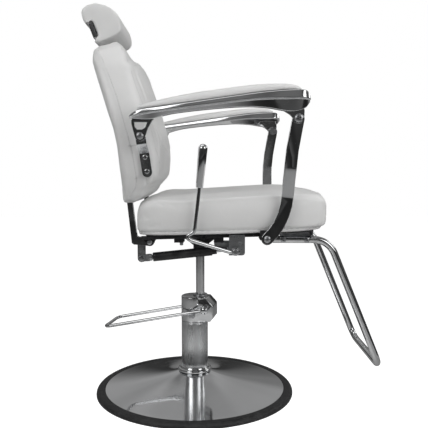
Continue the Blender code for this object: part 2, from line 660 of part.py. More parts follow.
    origin = yaw @ Vector((PEDAL_X, 0.0, PEDAL_Z))
    down = Vector((PEDAL_END_X - PEDAL_X, 0.0, PEDAL_END_Z - PEDAL_Z)).normalized()
    start = Vector((PEDAL_X, 0.0, PEDAL_Z)) + down * (SHAFT_R + 0.002)
    near = Vector((0.0, -PEDAL_HALF, 0.0))
    end = Vector((PEDAL_END_X, 0.0, PEDAL_END_Z))
    path = bend_path([start + near, end + near, end - near, start - near], [PEDAL_BEND, PEDAL_BEND], 5)
    loop = tube(path, PEDAL_ROD_R, 8)
    bmesh.ops.transform(loop, matrix=yaw, verts=loop.verts)
    pedal = add_object("pedal_loop", loop, chrome, origin)
    for sign in (-1, 1):
        low_y = sign * PEDAL_HALF - EYE_WIDE / 2
        eye = [(shaft_fit, low_y), (EYE_R, low_y), (EYE_R, low_y + EYE_WIDE), (shaft_fit, low_y + EYE_WIDE)]
        join(pedal, revolve(eye, 16, across))
    cap_in = PEDAL_HALF + EYE_WIDE / 2 + GAP
    cap_out = cap_in + SHAFT_CAP
    profile = [(0.0, -cap_out), (SHAFT_CAP_R * 0.55, -cap_out + 0.0006), (SHAFT_CAP_R, -cap_in - SHAFT_CAP * 0.45), (SHAFT_CAP_R, -cap_in)]
    profile += [(SHAFT_R, -cap_in), (SHAFT_R, cap_in), (SHAFT_CAP_R, cap_in), (SHAFT_CAP_R, cap_in + SHAFT_CAP * 0.45)]
    profile += [(SHAFT_CAP_R * 0.55, cap_out - 0.0006), (0.0, cap_out)]
    add_object("pedal_shaft", revolve(profile, 16, across), chrome, origin)


def build_mount(black, zinc):
    """Mount plate on the rod with its hub, ribs and four bolts."""
    origin = (ROD_X, 0.0, MOUNT_LOW_Z)
    shift = Matrix.Translation((ROD_X, 0.0, 0.0))
    outline = [(ROD_X + x, y) for x, y in rounded_rect(MOUNT_LONG / 2, MOUNT_WIDE / 2, 0.012)]
    top = MOUNT_LOW_Z + MOUNT_THICK
    plate = add_object("mount_plate", slab(outline, lambda x: MOUNT_LOW_Z, lambda x: top), black, origin)
    hub = [(0.0, MOUNT_HUB_LOW_Z), (MOUNT_HUB_R - 0.0015, MOUNT_HUB_LOW_Z), (MOUNT_HUB_R, MOUNT_HUB_LOW_Z + 0.0015)]
    hub += [(MOUNT_HUB_R, MOUNT_LOW_Z + 0.002), (0.0, MOUNT_LOW_Z + 0.002)]
    join(plate, revolve(hub, 20, shift))
    inside = MOUNT_HUB_R * 0.8
    for reach, turn in ((MOUNT_RIB_X, 0), (MOUNT_RIB_X, 180), (MOUNT_RIB_Y, 90), (MOUNT_RIB_Y, 270)):
        rib = prism([(inside, MOUNT_RIB_LOW_Z), (MOUNT_HUB_R, MOUNT_RIB_LOW_Z), (reach, MOUNT_LOW_Z - 0.008),
                     (reach, MOUNT_LOW_Z + 0.002), (inside, MOUNT_LOW_Z + 0.002)], -MOUNT_RIB_HALF, MOUNT_RIB_HALF)
        place = shift @ Matrix.Rotation(math.radians(turn), 4, "Z")
        bmesh.ops.transform(rib, matrix=place, verts=rib.verts)
        join(plate, rib)
    fit = ROD_R + 2 * HOLE_FIT
    bore_top = ROD_TOP_Z + 2 * GAP
    bore = [(0.0, MOUNT_HUB_LOW_Z - 0.01), (fit, MOUNT_HUB_LOW_Z - 0.01), (fit, bore_top), (0.0, bore_top)]
    cut(plate, revolve(bore, PUMP_STEPS, shift))
    hole_r = MOUNT_BOLT_R + HOLE_FIT
    for i, (sx, sy) in enumerate(((1, -1), (-1, -1), (1, 1), (-1, 1))):
        x, y = ROD_X + sx * MOUNT_BOLT_X, sy * MOUNT_BOLT_Y
        place = Matrix.Translation((x, y, 0.0))
        hole = [(0.0, MOUNT_LOW_Z - 0.01), (hole_r, MOUNT_LOW_Z - 0.01), (hole_r, top + 0.01), (0.0, top + 0.01)]
        cut(plate, revolve(hole, 8, place))
        nut_top = MOUNT_LOW_Z - GAP
        nut_low = nut_top - MOUNT_NUT_TALL
        shank = [(0.0, MOUNT_BOLT_LOW_Z), (MOUNT_BOLT_R - 0.0008, MOUNT_BOLT_LOW_Z), (MOUNT_BOLT_R, MOUNT_BOLT_LOW_Z + 0.001)]
        shank += [(MOUNT_BOLT_R, MOUNT_BOLT_TOP_Z), (0.0, MOUNT_BOLT_TOP_Z)]
        bolt = add_object(f"mount_bolt_{i + 1}", revolve(shank, 8, place), zinc, (x, y, nut_low))
        nut = [(0.0, nut_low), (MOUNT_NUT_R * 0.9, nut_low), (MOUNT_NUT_R, nut_low + 0.0012), (MOUNT_NUT_R, nut_top), (0.0, nut_top)]
        join(bolt, revolve(nut, 6, place))


def build_seat(black, wood, leather):
    """Welded seat frame, board and cushion."""
    origin = (ROD_X, 0.0, seat_line(ROD_X))
    frame = None
    for _, sign in SIDES:
        y_low, y_high = sorted((sign * RAIL_IN, sign * RAIL_OUT))
        ends = ((RAIL_REAR_X, 0.0), (RAIL_FRONT_X, 0.0), (RAIL_FRONT_X, RAIL_THICK), (RAIL_REAR_X, RAIL_THICK))
        rail = prism([(x, seat_line(x) + z) for x, z in ends], y_low, y_high)
        if frame is None:
            frame = add_object("seat_frame", rail, black, origin)
        else:
            join(frame, rail)
    cross_low = MOUNT_LOW_Z + MOUNT_THICK + GAP
    for sx in (-1, 1):
        x = ROD_X + sx * MOUNT_BOLT_X
        reach = RAIL_IN + 0.008
        top = seat_line(x) + RAIL_THICK - 0.0012
        join(frame, box((x - CROSS_HALF, -reach, cross_low), (x + CROSS_HALF, reach, top)))
        for sy in (-1, 1):
            hole_r = MOUNT_BOLT_R + HOLE_FIT
            hole_top = MOUNT_BOLT_TOP_Z + 2 * GAP
            hole = [(0.0, cross_low - 0.01), (hole_r, cross_low - 0.01), (hole_r, hole_top), (0.0, hole_top)]
            cut(frame, revolve(hole, 8, Matrix.Translation((x, sy * MOUNT_BOLT_Y, 0.0))))

    middle = (BOARD_REAR_X + BOARD_FRONT_X) / 2
    outline = [(middle + x, y) for x, y in rounded_rect((BOARD_FRONT_X - BOARD_REAR_X) / 2, BOARD_HALF, BOARD_CORNER)]
    board = slab(outline, lambda x: seat_line(x) + BOARD_LOW, lambda x: seat_line(x) + BOARD_TOP)
    add_object("seat_board", board, wood, origin)

    half_x = (SEAT_FRONT_X - SEAT_REAR_X) / 2
    middle = (SEAT_FRONT_X + SEAT_REAR_X) / 2
    sections = []
    for i in range(SEAT_STATIONS):
        angle = math.radians(between(6.0, 174.0, i / (SEAT_STATIONS - 1)))
        x = middle - half_x * power(math.cos(angle), 2 / SEAT_ROUND)
        full = math.sin(angle) ** (2 / SEAT_ROUND)
        full_low = math.sin(angle) ** (2 / SEAT_ROUND_LOW)
        ahead = max(0.0, (x - 0.18) / (SEAT_FRONT_X - 0.18))
        low = seat_line(x) + CUSHION_LOW + SEAT_FRONT_RISE * ahead * ahead
        high = smooth(SEAT_TOP, x)
        centre = between(low, high, 0.42)
        wide = SEAT_HALF * (1 - 0.30 * (1 - full))
        ring = []
        for k in range(SEAT_RING):
            turn = 2 * math.pi * k / SEAT_RING
            y = wide * power(math.cos(turn), 2 / SEAT_SIDE_ROUND)
            if math.sin(turn) > 0:
                crown = SEAT_CROWN * (1 - (y / wide) ** 2)
                lift = full * power(math.sin(turn), 2 / SEAT_TOP_ROUND) * (high - centre - SEAT_CROWN + crown)
            else:
                lift = full_low * power(math.sin(turn), 2 / SEAT_FOOT_ROUND) * (centre - low)
            ring.append((x, y, centre + lift))
        sections.append(ring)
    cushion = add_object("seat_cushion", loft(sections), leather, origin)
    middle = (BOARD_REAR_X + BOARD_FRONT_X) / 2
    half = (BOARD_FRONT_X - BOARD_REAR_X) / 2
    outline = [(middle + x, y) for x, y in rounded_rect(half + GAP, BOARD_HALF + GAP, BOARD_CORNER)]
    cut(cushion, slab(outline, lambda x: seat_line(x) - 0.01, lambda x: seat_line(x) + BOARD_TOP + GAP))


def build_hinge(black, chrome, zinc):
    """Hinge lugs on the seat, back brackets, pivot bolts and the tail that drives the gas spring."""
    centre = (HINGE_X, HINGE_Z)
    for side, sign in SIDES:
        top = [(-0.0930, seat_line(-0.0930) - GAP), (-0.1290, seat_line(-0.1290) - GAP)]
        outline = top + arc(centre, LUG_R, 200, 320, 6)
        y_low, y_high = sorted((sign * LUG_IN, sign * LUG_OUT))
        lug = add_object(f"hinge_lug_{side}", prism(outline, y_low, y_high), black, (HINGE_X, sign * LUG_IN, HINGE_Z))
        hole_r = HINGE_BOLT_R + HOLE_FIT
        cut(lug, rod_between((HINGE_X, y_low - 0.01, HINGE_Z), (HINGE_X, y_high + 0.01, HINGE_Z), hole_r, 12))

        bar = bracket_outline(0.0)
        y_low, y_high = sorted((sign * FOOT_IN, sign * FOOT_OUT))
        bracket = add_object(f"back_bracket_{side}", prism(bar, y_low, y_high), chrome, (HINGE_X, sign * FOOT_IN, HINGE_Z))
        cut(bracket, rod_between((HINGE_X, y_low - 0.01, HINGE_Z), (HINGE_X, y_high + 0.01, HINGE_Z), hole_r, 12))
        pivot_bolt(f"recline_bolt_{side}", zinc, centre, sign, LUG_OUT + GAP, FOOT_IN - GAP, 0.0066, HINGE_BOLT_R, HINGE_HEAD_R)

    x = GAS_REAR[0]
    tail = [(x + TAIL_HALF, 0.4815), (x - TAIL_HALF, 0.4815)] + arc(GAS_REAR, TAIL_HALF, 180, 360, 8)
    plate = add_object("recline_tail", prism(tail, -TAIL_OUT, -TAIL_IN), chrome, (HINGE_X, -TAIL_IN, HINGE_Z))
    face = FORK_GAP + FORK_WALL + GAP
    profile = [(0.0, -face - 0.003), (0.0068, -face - 0.0026), (0.0068, -face), (GAS_PIN_R, -face), (GAS_PIN_R, face), (0.0062, face)]
    profile += [(0.0062, face + 0.0022), (0.0, face + 0.0026)]
    join(plate, revolve(profile, 12, along_y(x, GAS_REAR[1], GAS_Y)))


def bracket_outline(grow):
    """Side outline of a back bracket: an upright bar with a foot to the hinge, grown by a clearance."""
    foot_rear = (-0.1574 - grow, BAR_LOW_Z)
    rear = [(-0.1520, BAR_LOW_Z - 0.004 - grow), foot_rear, (-0.1690 - grow, 0.578), (-0.1797 - grow, BAR_TOP_Z + grow)]
    front = [(-0.1797 + BAR_WIDE + grow, BAR_TOP_Z + grow), (-0.1690 + BAR_WIDE + grow, 0.578), (-0.1443 + grow, 0.4870), (-0.1400, 0.4838 + grow)]
    eye = arc((HINGE_X, HINGE_Z), FOOT_EYE_R + grow, 90, -90, 8)
    under = [(-0.1300, BAR_LOW_Z - 0.0055 - grow)]
    return rear + front + eye + under


def gas_frame():
    """Frame of the gas spring: X runs from the rear pin to the front pin."""
    rear = Vector((GAS_REAR[0], GAS_Y, GAS_REAR[1]))
    front = Vector((GAS_FRONT[0], GAS_Y, GAS_FRONT[1]))
    tilt = math.atan2(front.z - rear.z, front.x - rear.x)
    return Matrix.Translation(rear) @ Matrix.Rotation(-tilt, 4, "Y"), (front - rear).length


def build_gas_spring(black, zinc, chrome):
    """Gas spring tube with its fork, its rod, the pin and the bracket on the seat."""
    place, length = gas_frame()
    lie = place @ Matrix.Rotation(math.radians(90.0), 4, "Y")
    profile = [(0.0, FORK_BRIDGE + 0.002), (0.0092, FORK_BRIDGE + 0.002), (0.0092, GAS_TUBE_START - 0.003), (0.0060, GAS_TUBE_START - 0.002)]
    profile += [(0.0060, GAS_TUBE_START), (GAS_R - 0.001, GAS_TUBE_START), (GAS_R, GAS_TUBE_START + 0.001)]
    profile += [(GAS_R, GAS_TUBE_END - 0.001), (GAS_R - 0.001, GAS_TUBE_END), (GAS_BUSH_R, GAS_TUBE_END)]
    profile += [(GAS_BUSH_R, GAS_TUBE_END + GAS_BUSH), (GAS_BORE_R, GAS_TUBE_END + GAS_BUSH), (GAS_BORE_R, GAS_BORE_START), (0.0, GAS_BORE_START)]
    origin = (GAS_REAR[0], GAS_Y, GAS_REAR[1])
    body = add_object("gas_cylinder", revolve(profile, 16, lie), black, origin)
    wall = FORK_GAP + FORK_WALL
    bridge = box((FORK_BRIDGE - 0.004, -wall, -FORK_HALF), (FORK_BRIDGE + 0.004, wall, FORK_HALF))
    bmesh.ops.transform(bridge, matrix=place, verts=bridge.verts)
    join(body, bridge)
    hole_r = GAS_PIN_R + HOLE_FIT
    for sign in (-1, 1):
        outline = [(FORK_BRIDGE, -FORK_HALF + 0.0004), (FORK_BRIDGE, FORK_HALF - 0.0004)] + arc((0.0, 0.0), FORK_HALF - 0.0004, 90, 270, 6)
        y_low, y_high = sorted((sign * FORK_GAP, sign * (wall - 0.0004)))
        cheek = prism(outline, y_low, y_high)
        bmesh.ops.transform(cheek, matrix=place, verts=cheek.verts)
        join(body, cheek)
    cut(body, rod_between((origin[0], GAS_Y - 0.03, origin[2]), (origin[0], GAS_Y + 0.03, origin[2]), hole_r, 12))

    front = (GAS_FRONT[0], GAS_Y, GAS_FRONT[1])
    profile = [(0.0, GAS_ROD_INSIDE), (GAS_ROD_R, GAS_ROD_INSIDE), (GAS_ROD_R, length - GAS_EYE_R * 0.8), (0.0, length - GAS_EYE_R * 0.8)]
    rod = add_object("gas_rod", revolve(profile, 12, lie), chrome, front)
    eye = [(hole_r, -GAS_EYE_HALF), (GAS_EYE_R, -GAS_EYE_HALF), (GAS_EYE_R, GAS_EYE_HALF), (hole_r, GAS_EYE_HALF)]
    join(rod, revolve(eye, 16, along_y(front[0], front[2], GAS_Y)))

    inner = GAS_Y + GAS_R + 0.0025
    cross_x = ROD_X + MOUNT_BOLT_X
    top = MOUNT_LOW_Z + MOUNT_THICK
    plate = [(cross_x - 0.013, top), (cross_x - 0.010, 0.452)] + arc((front[0], front[2]), 0.0085, 235, 380, 6) + [(cross_x + 0.030, top)]
    bracket = add_object("gas_bracket", prism(plate, inner, inner + 0.005), zinc, front)
    join(bracket, box((cross_x - 0.012, inner + 0.003, top - 0.004), (cross_x + 0.012, inner + 0.030, top - 0.0002)))
    join(bracket, rod_between((front[0], GAS_Y - GAS_EYE_HALF - 0.003, front[2]), (front[0], inner + 0.003, front[2]), GAS_PIN_R, 12))
    collar_y = GAS_Y + GAS_EYE_HALF + GAP
    join(bracket, rod_between((front[0], collar_y, front[2]), (front[0], inner + 0.002, front[2]), GAS_EYE_R, 12))


def build_lever(chrome, zinc):
    """Release lever with its grip, its shaft and the plate that carries it."""
    origin = (LEVER_PIVOT[0], -LEVER_EYE_IN, LEVER_PIVOT[1])
    middle_y = -(LEVER_EYE_IN + LEVER_EYE_OUT) / 2
    up = Vector((GRIP_TOP[0] - GRIP_LOW[0], 0.0, GRIP_TOP[1] - GRIP_LOW[1])).normalized()
    low = Vector((GRIP_LOW[0], LEVER_Y, GRIP_LOW[1]))
    corners = [low + up * (GRIP_BORE - 0.004), low - up * 0.006]
    for x, z in (LEVER_KNEE, LEVER_HOOK, LEVER_TURN):
        corners.append(Vector((x, LEVER_Y, z)))
    corners.append(Vector((LEVER_PIVOT[0] - 0.0085, middle_y, LEVER_PIVOT[1] - 0.0030)))
    path = bend_path(corners, LEVER_BENDS, 4)
    lever = add_object("release_lever", tube(path, LEVER_R, 8), chrome, origin)
    hole_r = LEVER_R + HOLE_FIT
    eye = [(hole_r, -LEVER_EYE_OUT), (LEVER_EYE_R, -LEVER_EYE_OUT), (LEVER_EYE_R, -LEVER_EYE_IN), (hole_r, -LEVER_EYE_IN)]
    join(lever, revolve(eye, 20, along_y(*LEVER_PIVOT)))

    tall = (Vector(GRIP_TOP) - Vector(GRIP_LOW)).length
    turn = Matrix.Translation(low) @ up.to_track_quat("Z", "Y").to_matrix().to_4x4()
    profile = [(hole_r, 0.0), (GRIP_LOW_R - 0.001, 0.0), (GRIP_LOW_R, 0.001), (GRIP_TOP_R, tall - 0.0116)]
    profile += [(GRIP_TOP_R * 0.87, tall - 0.0055), (GRIP_TOP_R * 0.52, tall - 0.0016), (0.0, tall), (0.0, GRIP_BORE), (hole_r, GRIP_BORE)]
    add_object("lever_grip", revolve(profile, 18, turn), chrome, origin)

    y_out = RAIL_OUT + GAP + BRACKET_THICK
    top = seat_line(BRACKET_X[0]) + RAIL_THICK - 0.001
    outline = [(BRACKET_X[0], BRACKET_LOW_Z), (BRACKET_X[1] - 0.007, BRACKET_LOW_Z)]
    outline += arc((BRACKET_X[1] - 0.007, BRACKET_LOW_Z + 0.007), 0.007, -60, 0, 3) + [(BRACKET_X[1], top), (BRACKET_X[0], top)]
    plate = add_object("lever_bracket", prism(outline, -y_out, -RAIL_OUT - GAP), zinc, (LEVER_PIVOT[0], -RAIL_OUT, LEVER_PIVOT[1]))
    join(plate, rod_between((0.1225, -y_out - 0.0032, 0.4705), (0.1225, -y_out + 0.001, 0.4705), 0.0048, 6))
    cut(plate, rod_between((LEVER_PIVOT[0], -y_out - 0.01, LEVER_PIVOT[1]), (LEVER_PIVOT[0], -RAIL_OUT + 0.01, LEVER_PIVOT[1]), hole_r, 12))
    face = LEVER_EYE_OUT + GAP
    profile = [(0.0, -face - 0.0055), (0.0060, -face - 0.0055), (0.0085, -face - 0.0035), (0.0085, -face), (LEVER_R, -face)]
    rim_out, rim_in, end = RAIL_OUT - SHAFT_RIM, RAIL_OUT - 2 * SHAFT_RIM, RAIL_IN - SHAFT_TAIL
    profile += [(LEVER_R, -rim_out), (SHAFT_RIM_R, -rim_out), (SHAFT_RIM_R, -rim_in), (LEVER_R, -rim_in)]
    profile += [(LEVER_R, -end), (0.0, -end)]
    shaft = add_object("lever_shaft", revolve(profile, 10, along_y(*LEVER_PIVOT)), zinc, origin)
    x, z = LEVER_PIVOT
    finger = arc((x, z), SHAFT_RIM_R, 60, -70, 6) + [(x - FINGER_LONG, z + 0.001), (x - FINGER_LONG, z + 0.006)]
    join(shaft, prism(finger, -end - FINGER_THICK, -end - SHAFT_LIP))


def jog(span, low, high):
    """A face that steps from one distance to another between two heights."""
    def face(z):
        t = min(max((z - span[0]) / (span[1] - span[0]), 0.0), 1.0)
        return between(low, high, t)
    return face


def link_points():
    """Centre line of a front link, close enough for its curve and its two bends."""
    points = [LINK_PATH[0]]
    heights = [point[1] for point in LINK_PATH]
    by_height = [(z, x) for x, z in LINK_PATH]
    marks = sorted(set(heights[1:-1]) | set(LINK_JOG))
    points += [(smooth(by_height, z), z) for z in marks]
    return points + [LINK_PATH[-1]]


def build_arms(black, chrome, zinc, leather):
    """Both armrests with pads, front links, ears, straps and pivot bolts."""
    for side, sign in SIDES:
        build_link(side, sign, black, chrome, zinc)
        build_armrest(side, sign, chrome, leather)
        build_strap(side, sign, chrome)
        pivot_bolt(f"arm_front_bolt_{side}", zinc, LINK_HIGH, sign, ARM_LUG_OUT + GAP, LINK_HIGH_IN - GAP, PIVOT_NUT, PIVOT_BOLT_R, PIVOT_HEAD_R + 0.0022)
        pivot_bolt(f"arm_rear_bolt_{side}", zinc, ARM_PIVOT, sign, ARM_LUG_OUT + GAP, STRAP_HIGH_IN - GAP, PIVOT_NUT, PIVOT_BOLT_R, PIVOT_HEAD_R)


def build_link(side, sign, black, chrome, zinc):
    """A curved front link, its ear on the seat and the bolt between them."""
    low_origin = (LINK_LOW[0], sign * LINK_LOW_IN, LINK_LOW[1])
    face = jog(LINK_JOG, LINK_LOW_IN, LINK_HIGH_IN)
    link = add_object(f"front_link_{side}", ribbon(link_points(), LINK_HALF, LINK_THICK, face, sign), chrome, low_origin)
    bolt_fit = PIVOT_BOLT_R + HOLE_FIT
    cut(link, rod_between((LINK_LOW[0], sign * (LINK_LOW_IN - DRILL), LINK_LOW[1]), (LINK_LOW[0], sign * (LINK_LOW_IN + DRILL), LINK_LOW[1]), bolt_fit, 12))
    cut(link, rod_between((LINK_HIGH[0], sign * (LINK_HIGH_IN - DRILL), LINK_HIGH[1]), (LINK_HIGH[0], sign * (LINK_HIGH_IN + DRILL), LINK_HIGH[1]), LINK_HOLE_R, 16))

    x, z = LINK_LOW
    outline = [(x - 0.0172, 0.5075), (x - 0.0172, z - 0.002)] + arc((x, z), 0.0125, 200, 350, 6) + [(x + 0.0130, 0.5000), (x + 0.0030, 0.5075)]
    y_low, y_high = sorted((sign * EAR_IN, sign * EAR_OUT))
    ear = add_object(f"link_ear_{side}", prism(outline, y_low, y_high), black, low_origin)
    ends = (x - 0.0165, x + 0.0125)
    under = [(ends[0], seat_line(ends[0]) - GAP - EAR_FLANGE), (ends[1], seat_line(ends[1]) - GAP - EAR_FLANGE)]
    over = [(ends[1], seat_line(ends[1]) - GAP), (ends[0], seat_line(ends[0]) - GAP)]
    y_low, y_high = sorted((sign * RAIL_IN, sign * (EAR_IN + 0.003)))
    join(ear, prism(under + over, y_low, y_high))
    cut(ear, rod_between((x, sign * (EAR_IN - DRILL), z), (x, sign * (EAR_OUT + DRILL), z), bolt_fit, 12))
    face_out = LINK_LOW_IN + LINK_THICK + GAP
    cut(ear, rod_between((x, sign * (EAR_IN - DRILL), z), (x, sign * (EAR_IN - 0.0002), z), PIVOT_HEAD_R + 0.001, 12))
    pivot_bolt(f"link_bolt_{side}", zinc, LINK_LOW, sign, face_out, EAR_IN - GAP, PIVOT_NUT, PIVOT_BOLT_R, PIVOT_HEAD_R)


def build_armrest(side, sign, chrome, leather):
    """An arm casting with a rim, a web and two lugs, and the pad on it."""
    pivot = (ARM_PIVOT[0], sign * ARM_LUG_IN, ARM_PIVOT[1])
    sections = []
    for i in range(ARM_STATIONS):
        t = i / (ARM_STATIONS - 1)
        x = between(ARM_REAR_X, ARM_FRONT_X, 0.5 - 0.5 * math.cos(math.pi * t))
        top, crease, low = (smooth(line, x) for line in (ARM_TOP, ARM_CREASE, ARM_LOW))
        nose = min((ARM_FRONT_X - x) / 0.026, (x - ARM_REAR_X) / 0.024, 1.0)
        half = ARM_HALF * (0.36 + 0.64 * math.sqrt(max(0.0, 1 - (1 - nose) ** 2)))
        web = min(ARM_WEB_HALF, half * 0.85)
        edge = min(ARM_EDGE, (top - crease) * 0.3)
        c, w = sign * ARM_Y, sign * ARM_WEB_Y
        slim = half - ARM_SLANT * half / ARM_HALF
        roll = crease + edge * 0.7
        ring = [(c - slim + edge, top), (c + slim - edge, top), (c + slim, top - edge), (c + half, roll)]
        ring += [(c + half - edge, crease), (w + web, crease), (w + web * 0.8, low)]
        ring += [(w - web * 0.8, low), (w - web, crease), (c - half + edge, crease)]
        ring += [(c - half, roll), (c - slim, top - edge)]
        sections.append([(x, y, z) for y, z in ring])
    arm = add_object(f"arm_frame_{side}", loft(sections), chrome, pivot)
    y_low, y_high = sorted((sign * ARM_LUG_IN, sign * ARM_LUG_OUT))
    x, z = LINK_HIGH
    front = [(0.2680, 0.8180), (0.2150, 0.8180), (0.2080, 0.8070), (0.2230, 0.7990), (0.2360, 0.7915)] + arc((x, z), FRONT_LUG_R, 185, 360, 9)
    join(arm, prism(front + [(0.2724, 0.8020)], y_low, y_high))
    x, z = ARM_PIVOT
    rear = [(-0.0820, 0.7875), (-0.1390, 0.7862), (-0.1432, 0.7780), (-0.1428, 0.7687)] + arc((x, z), REAR_LUG_R, 190, 355, 9)
    join(arm, prism(rear + [(-0.1030, 0.7593), (-0.0933, 0.7770)], y_low, y_high))
    window = [(-0.1352, 0.7725), (-0.1342, 0.7616), (-0.1294, 0.7560), (-0.1174, 0.7560), (-0.1102, 0.7616), (-0.1060, 0.7725)]
    cut(arm, prism(window, y_low - 0.01, y_high + 0.01))
    bolt_fit = PIVOT_BOLT_R + HOLE_FIT
    for point in (LINK_HIGH, ARM_PIVOT):
        cut(arm, rod_between((point[0], y_low - 0.01, point[1]), (point[0], y_high + 0.01, point[1]), bolt_fit, 12))

    sections = []
    count = 15
    for i in range(count):
        t = i / (count - 1)
        x = between(PAD_REAR_X, PAD_FRONT_X, 0.5 - 0.5 * math.cos(math.pi * t))
        low = smooth(ARM_TOP, x) + 2 * GAP
        high = max(smooth(PAD_TOP, x), low + 0.003)
        nose = min((PAD_FRONT_X - x) / 0.030, (x - PAD_REAR_X) / 0.022, 1.0)
        half = PAD_HALF * (0.45 + 0.55 * math.sqrt(max(0.0, 1 - (1 - nose) ** 2)))
        c = sign * ARM_Y
        tall = high - low
        ring = [(c - half * 0.97, low), (c + half * 0.97, low), (c + half, low + tall * 0.25), (c + half * 0.97, low + tall * 0.6)]
        ring += [(c + half * 0.80, low + tall * 0.88), (c + half * 0.45, high), (c, high + 0.0006)]
        ring += [(c - half * 0.45, high), (c - half * 0.80, low + tall * 0.88), (c - half * 0.97, low + tall * 0.6), (c - half, low + tall * 0.25)]
        sections.append([(x, y, z) for y, z in ring])
    add_object(f"arm_pad_{side}", loft(sections), leather, pivot)


def build_strap(side, sign, chrome):
    """A strap on the side of the back that carries the arm's rear pivot, with two screw heads."""
    face = jog(STRAP_JOG, STRAP_LOW_IN, STRAP_HIGH_IN)
    low, high = STRAP_LOW, ARM_PIVOT
    path = []
    for z in sorted((low[1], between(low[1], STRAP_JOG[0], 0.5), *STRAP_JOG, high[1])):
        path.append((between(low[0], high[0], (z - low[1]) / (high[1] - low[1])), z))
    strap = add_object(f"arm_strap_{side}", ribbon(path, STRAP_HALF, STRAP_THICK, face, sign), chrome, (high[0], sign * STRAP_HIGH_IN, high[1]))
    cut(strap, rod_between((high[0], sign * (STRAP_HIGH_IN - DRILL), high[1]), (high[0], sign * (STRAP_HIGH_IN + DRILL), high[1]), PIVOT_BOLT_R + HOLE_FIT, 12))
    outer = STRAP_LOW_IN + STRAP_THICK
    for x, z in STRAP_SCREWS:
        head = [(0.0, outer - 0.002), (STRAP_SCREW_R, outer - 0.002), (STRAP_SCREW_R, outer + STRAP_SCREW * 0.5)]
        head += [(STRAP_SCREW_R * 0.6, outer + STRAP_SCREW), (0.0, outer + STRAP_SCREW)]
        turn = Matrix.Translation((x, 0.0, z)) @ Matrix.Rotation(math.radians(-90.0 * sign), 4, "X")
        join(strap, revolve(head, 12, turn))


def build_back(leather):
    """Backrest cushion, with pockets for the two brackets."""
    origin = (HINGE_X, 0.0, HINGE_Z)
    sections = []
    for i in range(BACK_STATIONS):
        t = i / (BACK_STATIONS - 1)
        z = between(BACK_LOW_Z, BACK_TOP_Z, 0.5 - 0.5 * math.cos(math.pi * t))
        rear, edge, middle = (smooth(line, z) for line in (BACK_REAR, BACK_EDGE, BACK_MIDDLE))
        wide = BACK_WIDE * smooth(BACK_SPREAD, z)
        centre = (rear + edge) / 2
        half = (edge - rear) / 2
        ring = []
        for k in range(BACK_RING):
            turn = 2 * math.pi * k / BACK_RING
            y = wide * power(math.cos(turn), 2 / BACK_ROUND)
            reach = power(math.sin(turn), 2 / BACK_ROUND)
            bulge = (1 - (y / wide) ** 2) * max(reach, 0.0) * (middle - edge) - (1 - (y / wide) ** 2) * max(-reach, 0.0) * BACK_CROWN
            ring.append((centre + half * reach + bulge, y, z))
        sections.append(ring)
    back = add_object("backrest_cushion", loft(sections), leather, origin)
    for _, sign in SIDES:
        y_low, y_high = sorted((sign * (FOOT_IN - POCKET), sign * (FOOT_OUT + POCKET)))
        cut(back, prism(bracket_outline(POCKET), y_low, y_high))
    sleeve_grow = SLEEVE_FIT + SLEEVE_WALL + SLEEVE_ROOM
    cut(back, post_bar(POST_LOW_Z - POST_ROOM, BACK_TOP_Z + POST_ROOM, sleeve_grow))


def post_line():
    """A point of the headrest post in the mouth of its sleeve, and the way it slides; its top meets the bar."""
    slide = Vector((POST_LEAN, 0.0, 1.0)).normalized()
    share = (POST_MEETS_Z - HEAD_BAR_LOW[1]) / (HEAD_BAR_HIGH[1] - HEAD_BAR_LOW[1])
    meet = Vector((between(HEAD_BAR_LOW[0], HEAD_BAR_HIGH[0], share), 0.0, POST_MEETS_Z))
    return meet - slide * (POST_MEETS_Z - SLEEVE_LOW_Z) / slide.z, slide


def post_bar(low_z, high_z, grow):
    """The headrest's flat post between two heights, grown by a clearance all round."""
    start, slide = post_line()
    behind = Vector((-slide.z, 0.0, slide.x)) * (POST_THICK / 2 + grow)
    low, high = (start + slide * (z - start.z) / slide.z for z in (low_z, high_z))
    corners = [low + behind, low - behind, high - behind, high + behind]
    return prism([(c.x, c.z) for c in corners], -POST_HALF - grow, POST_HALF + grow)


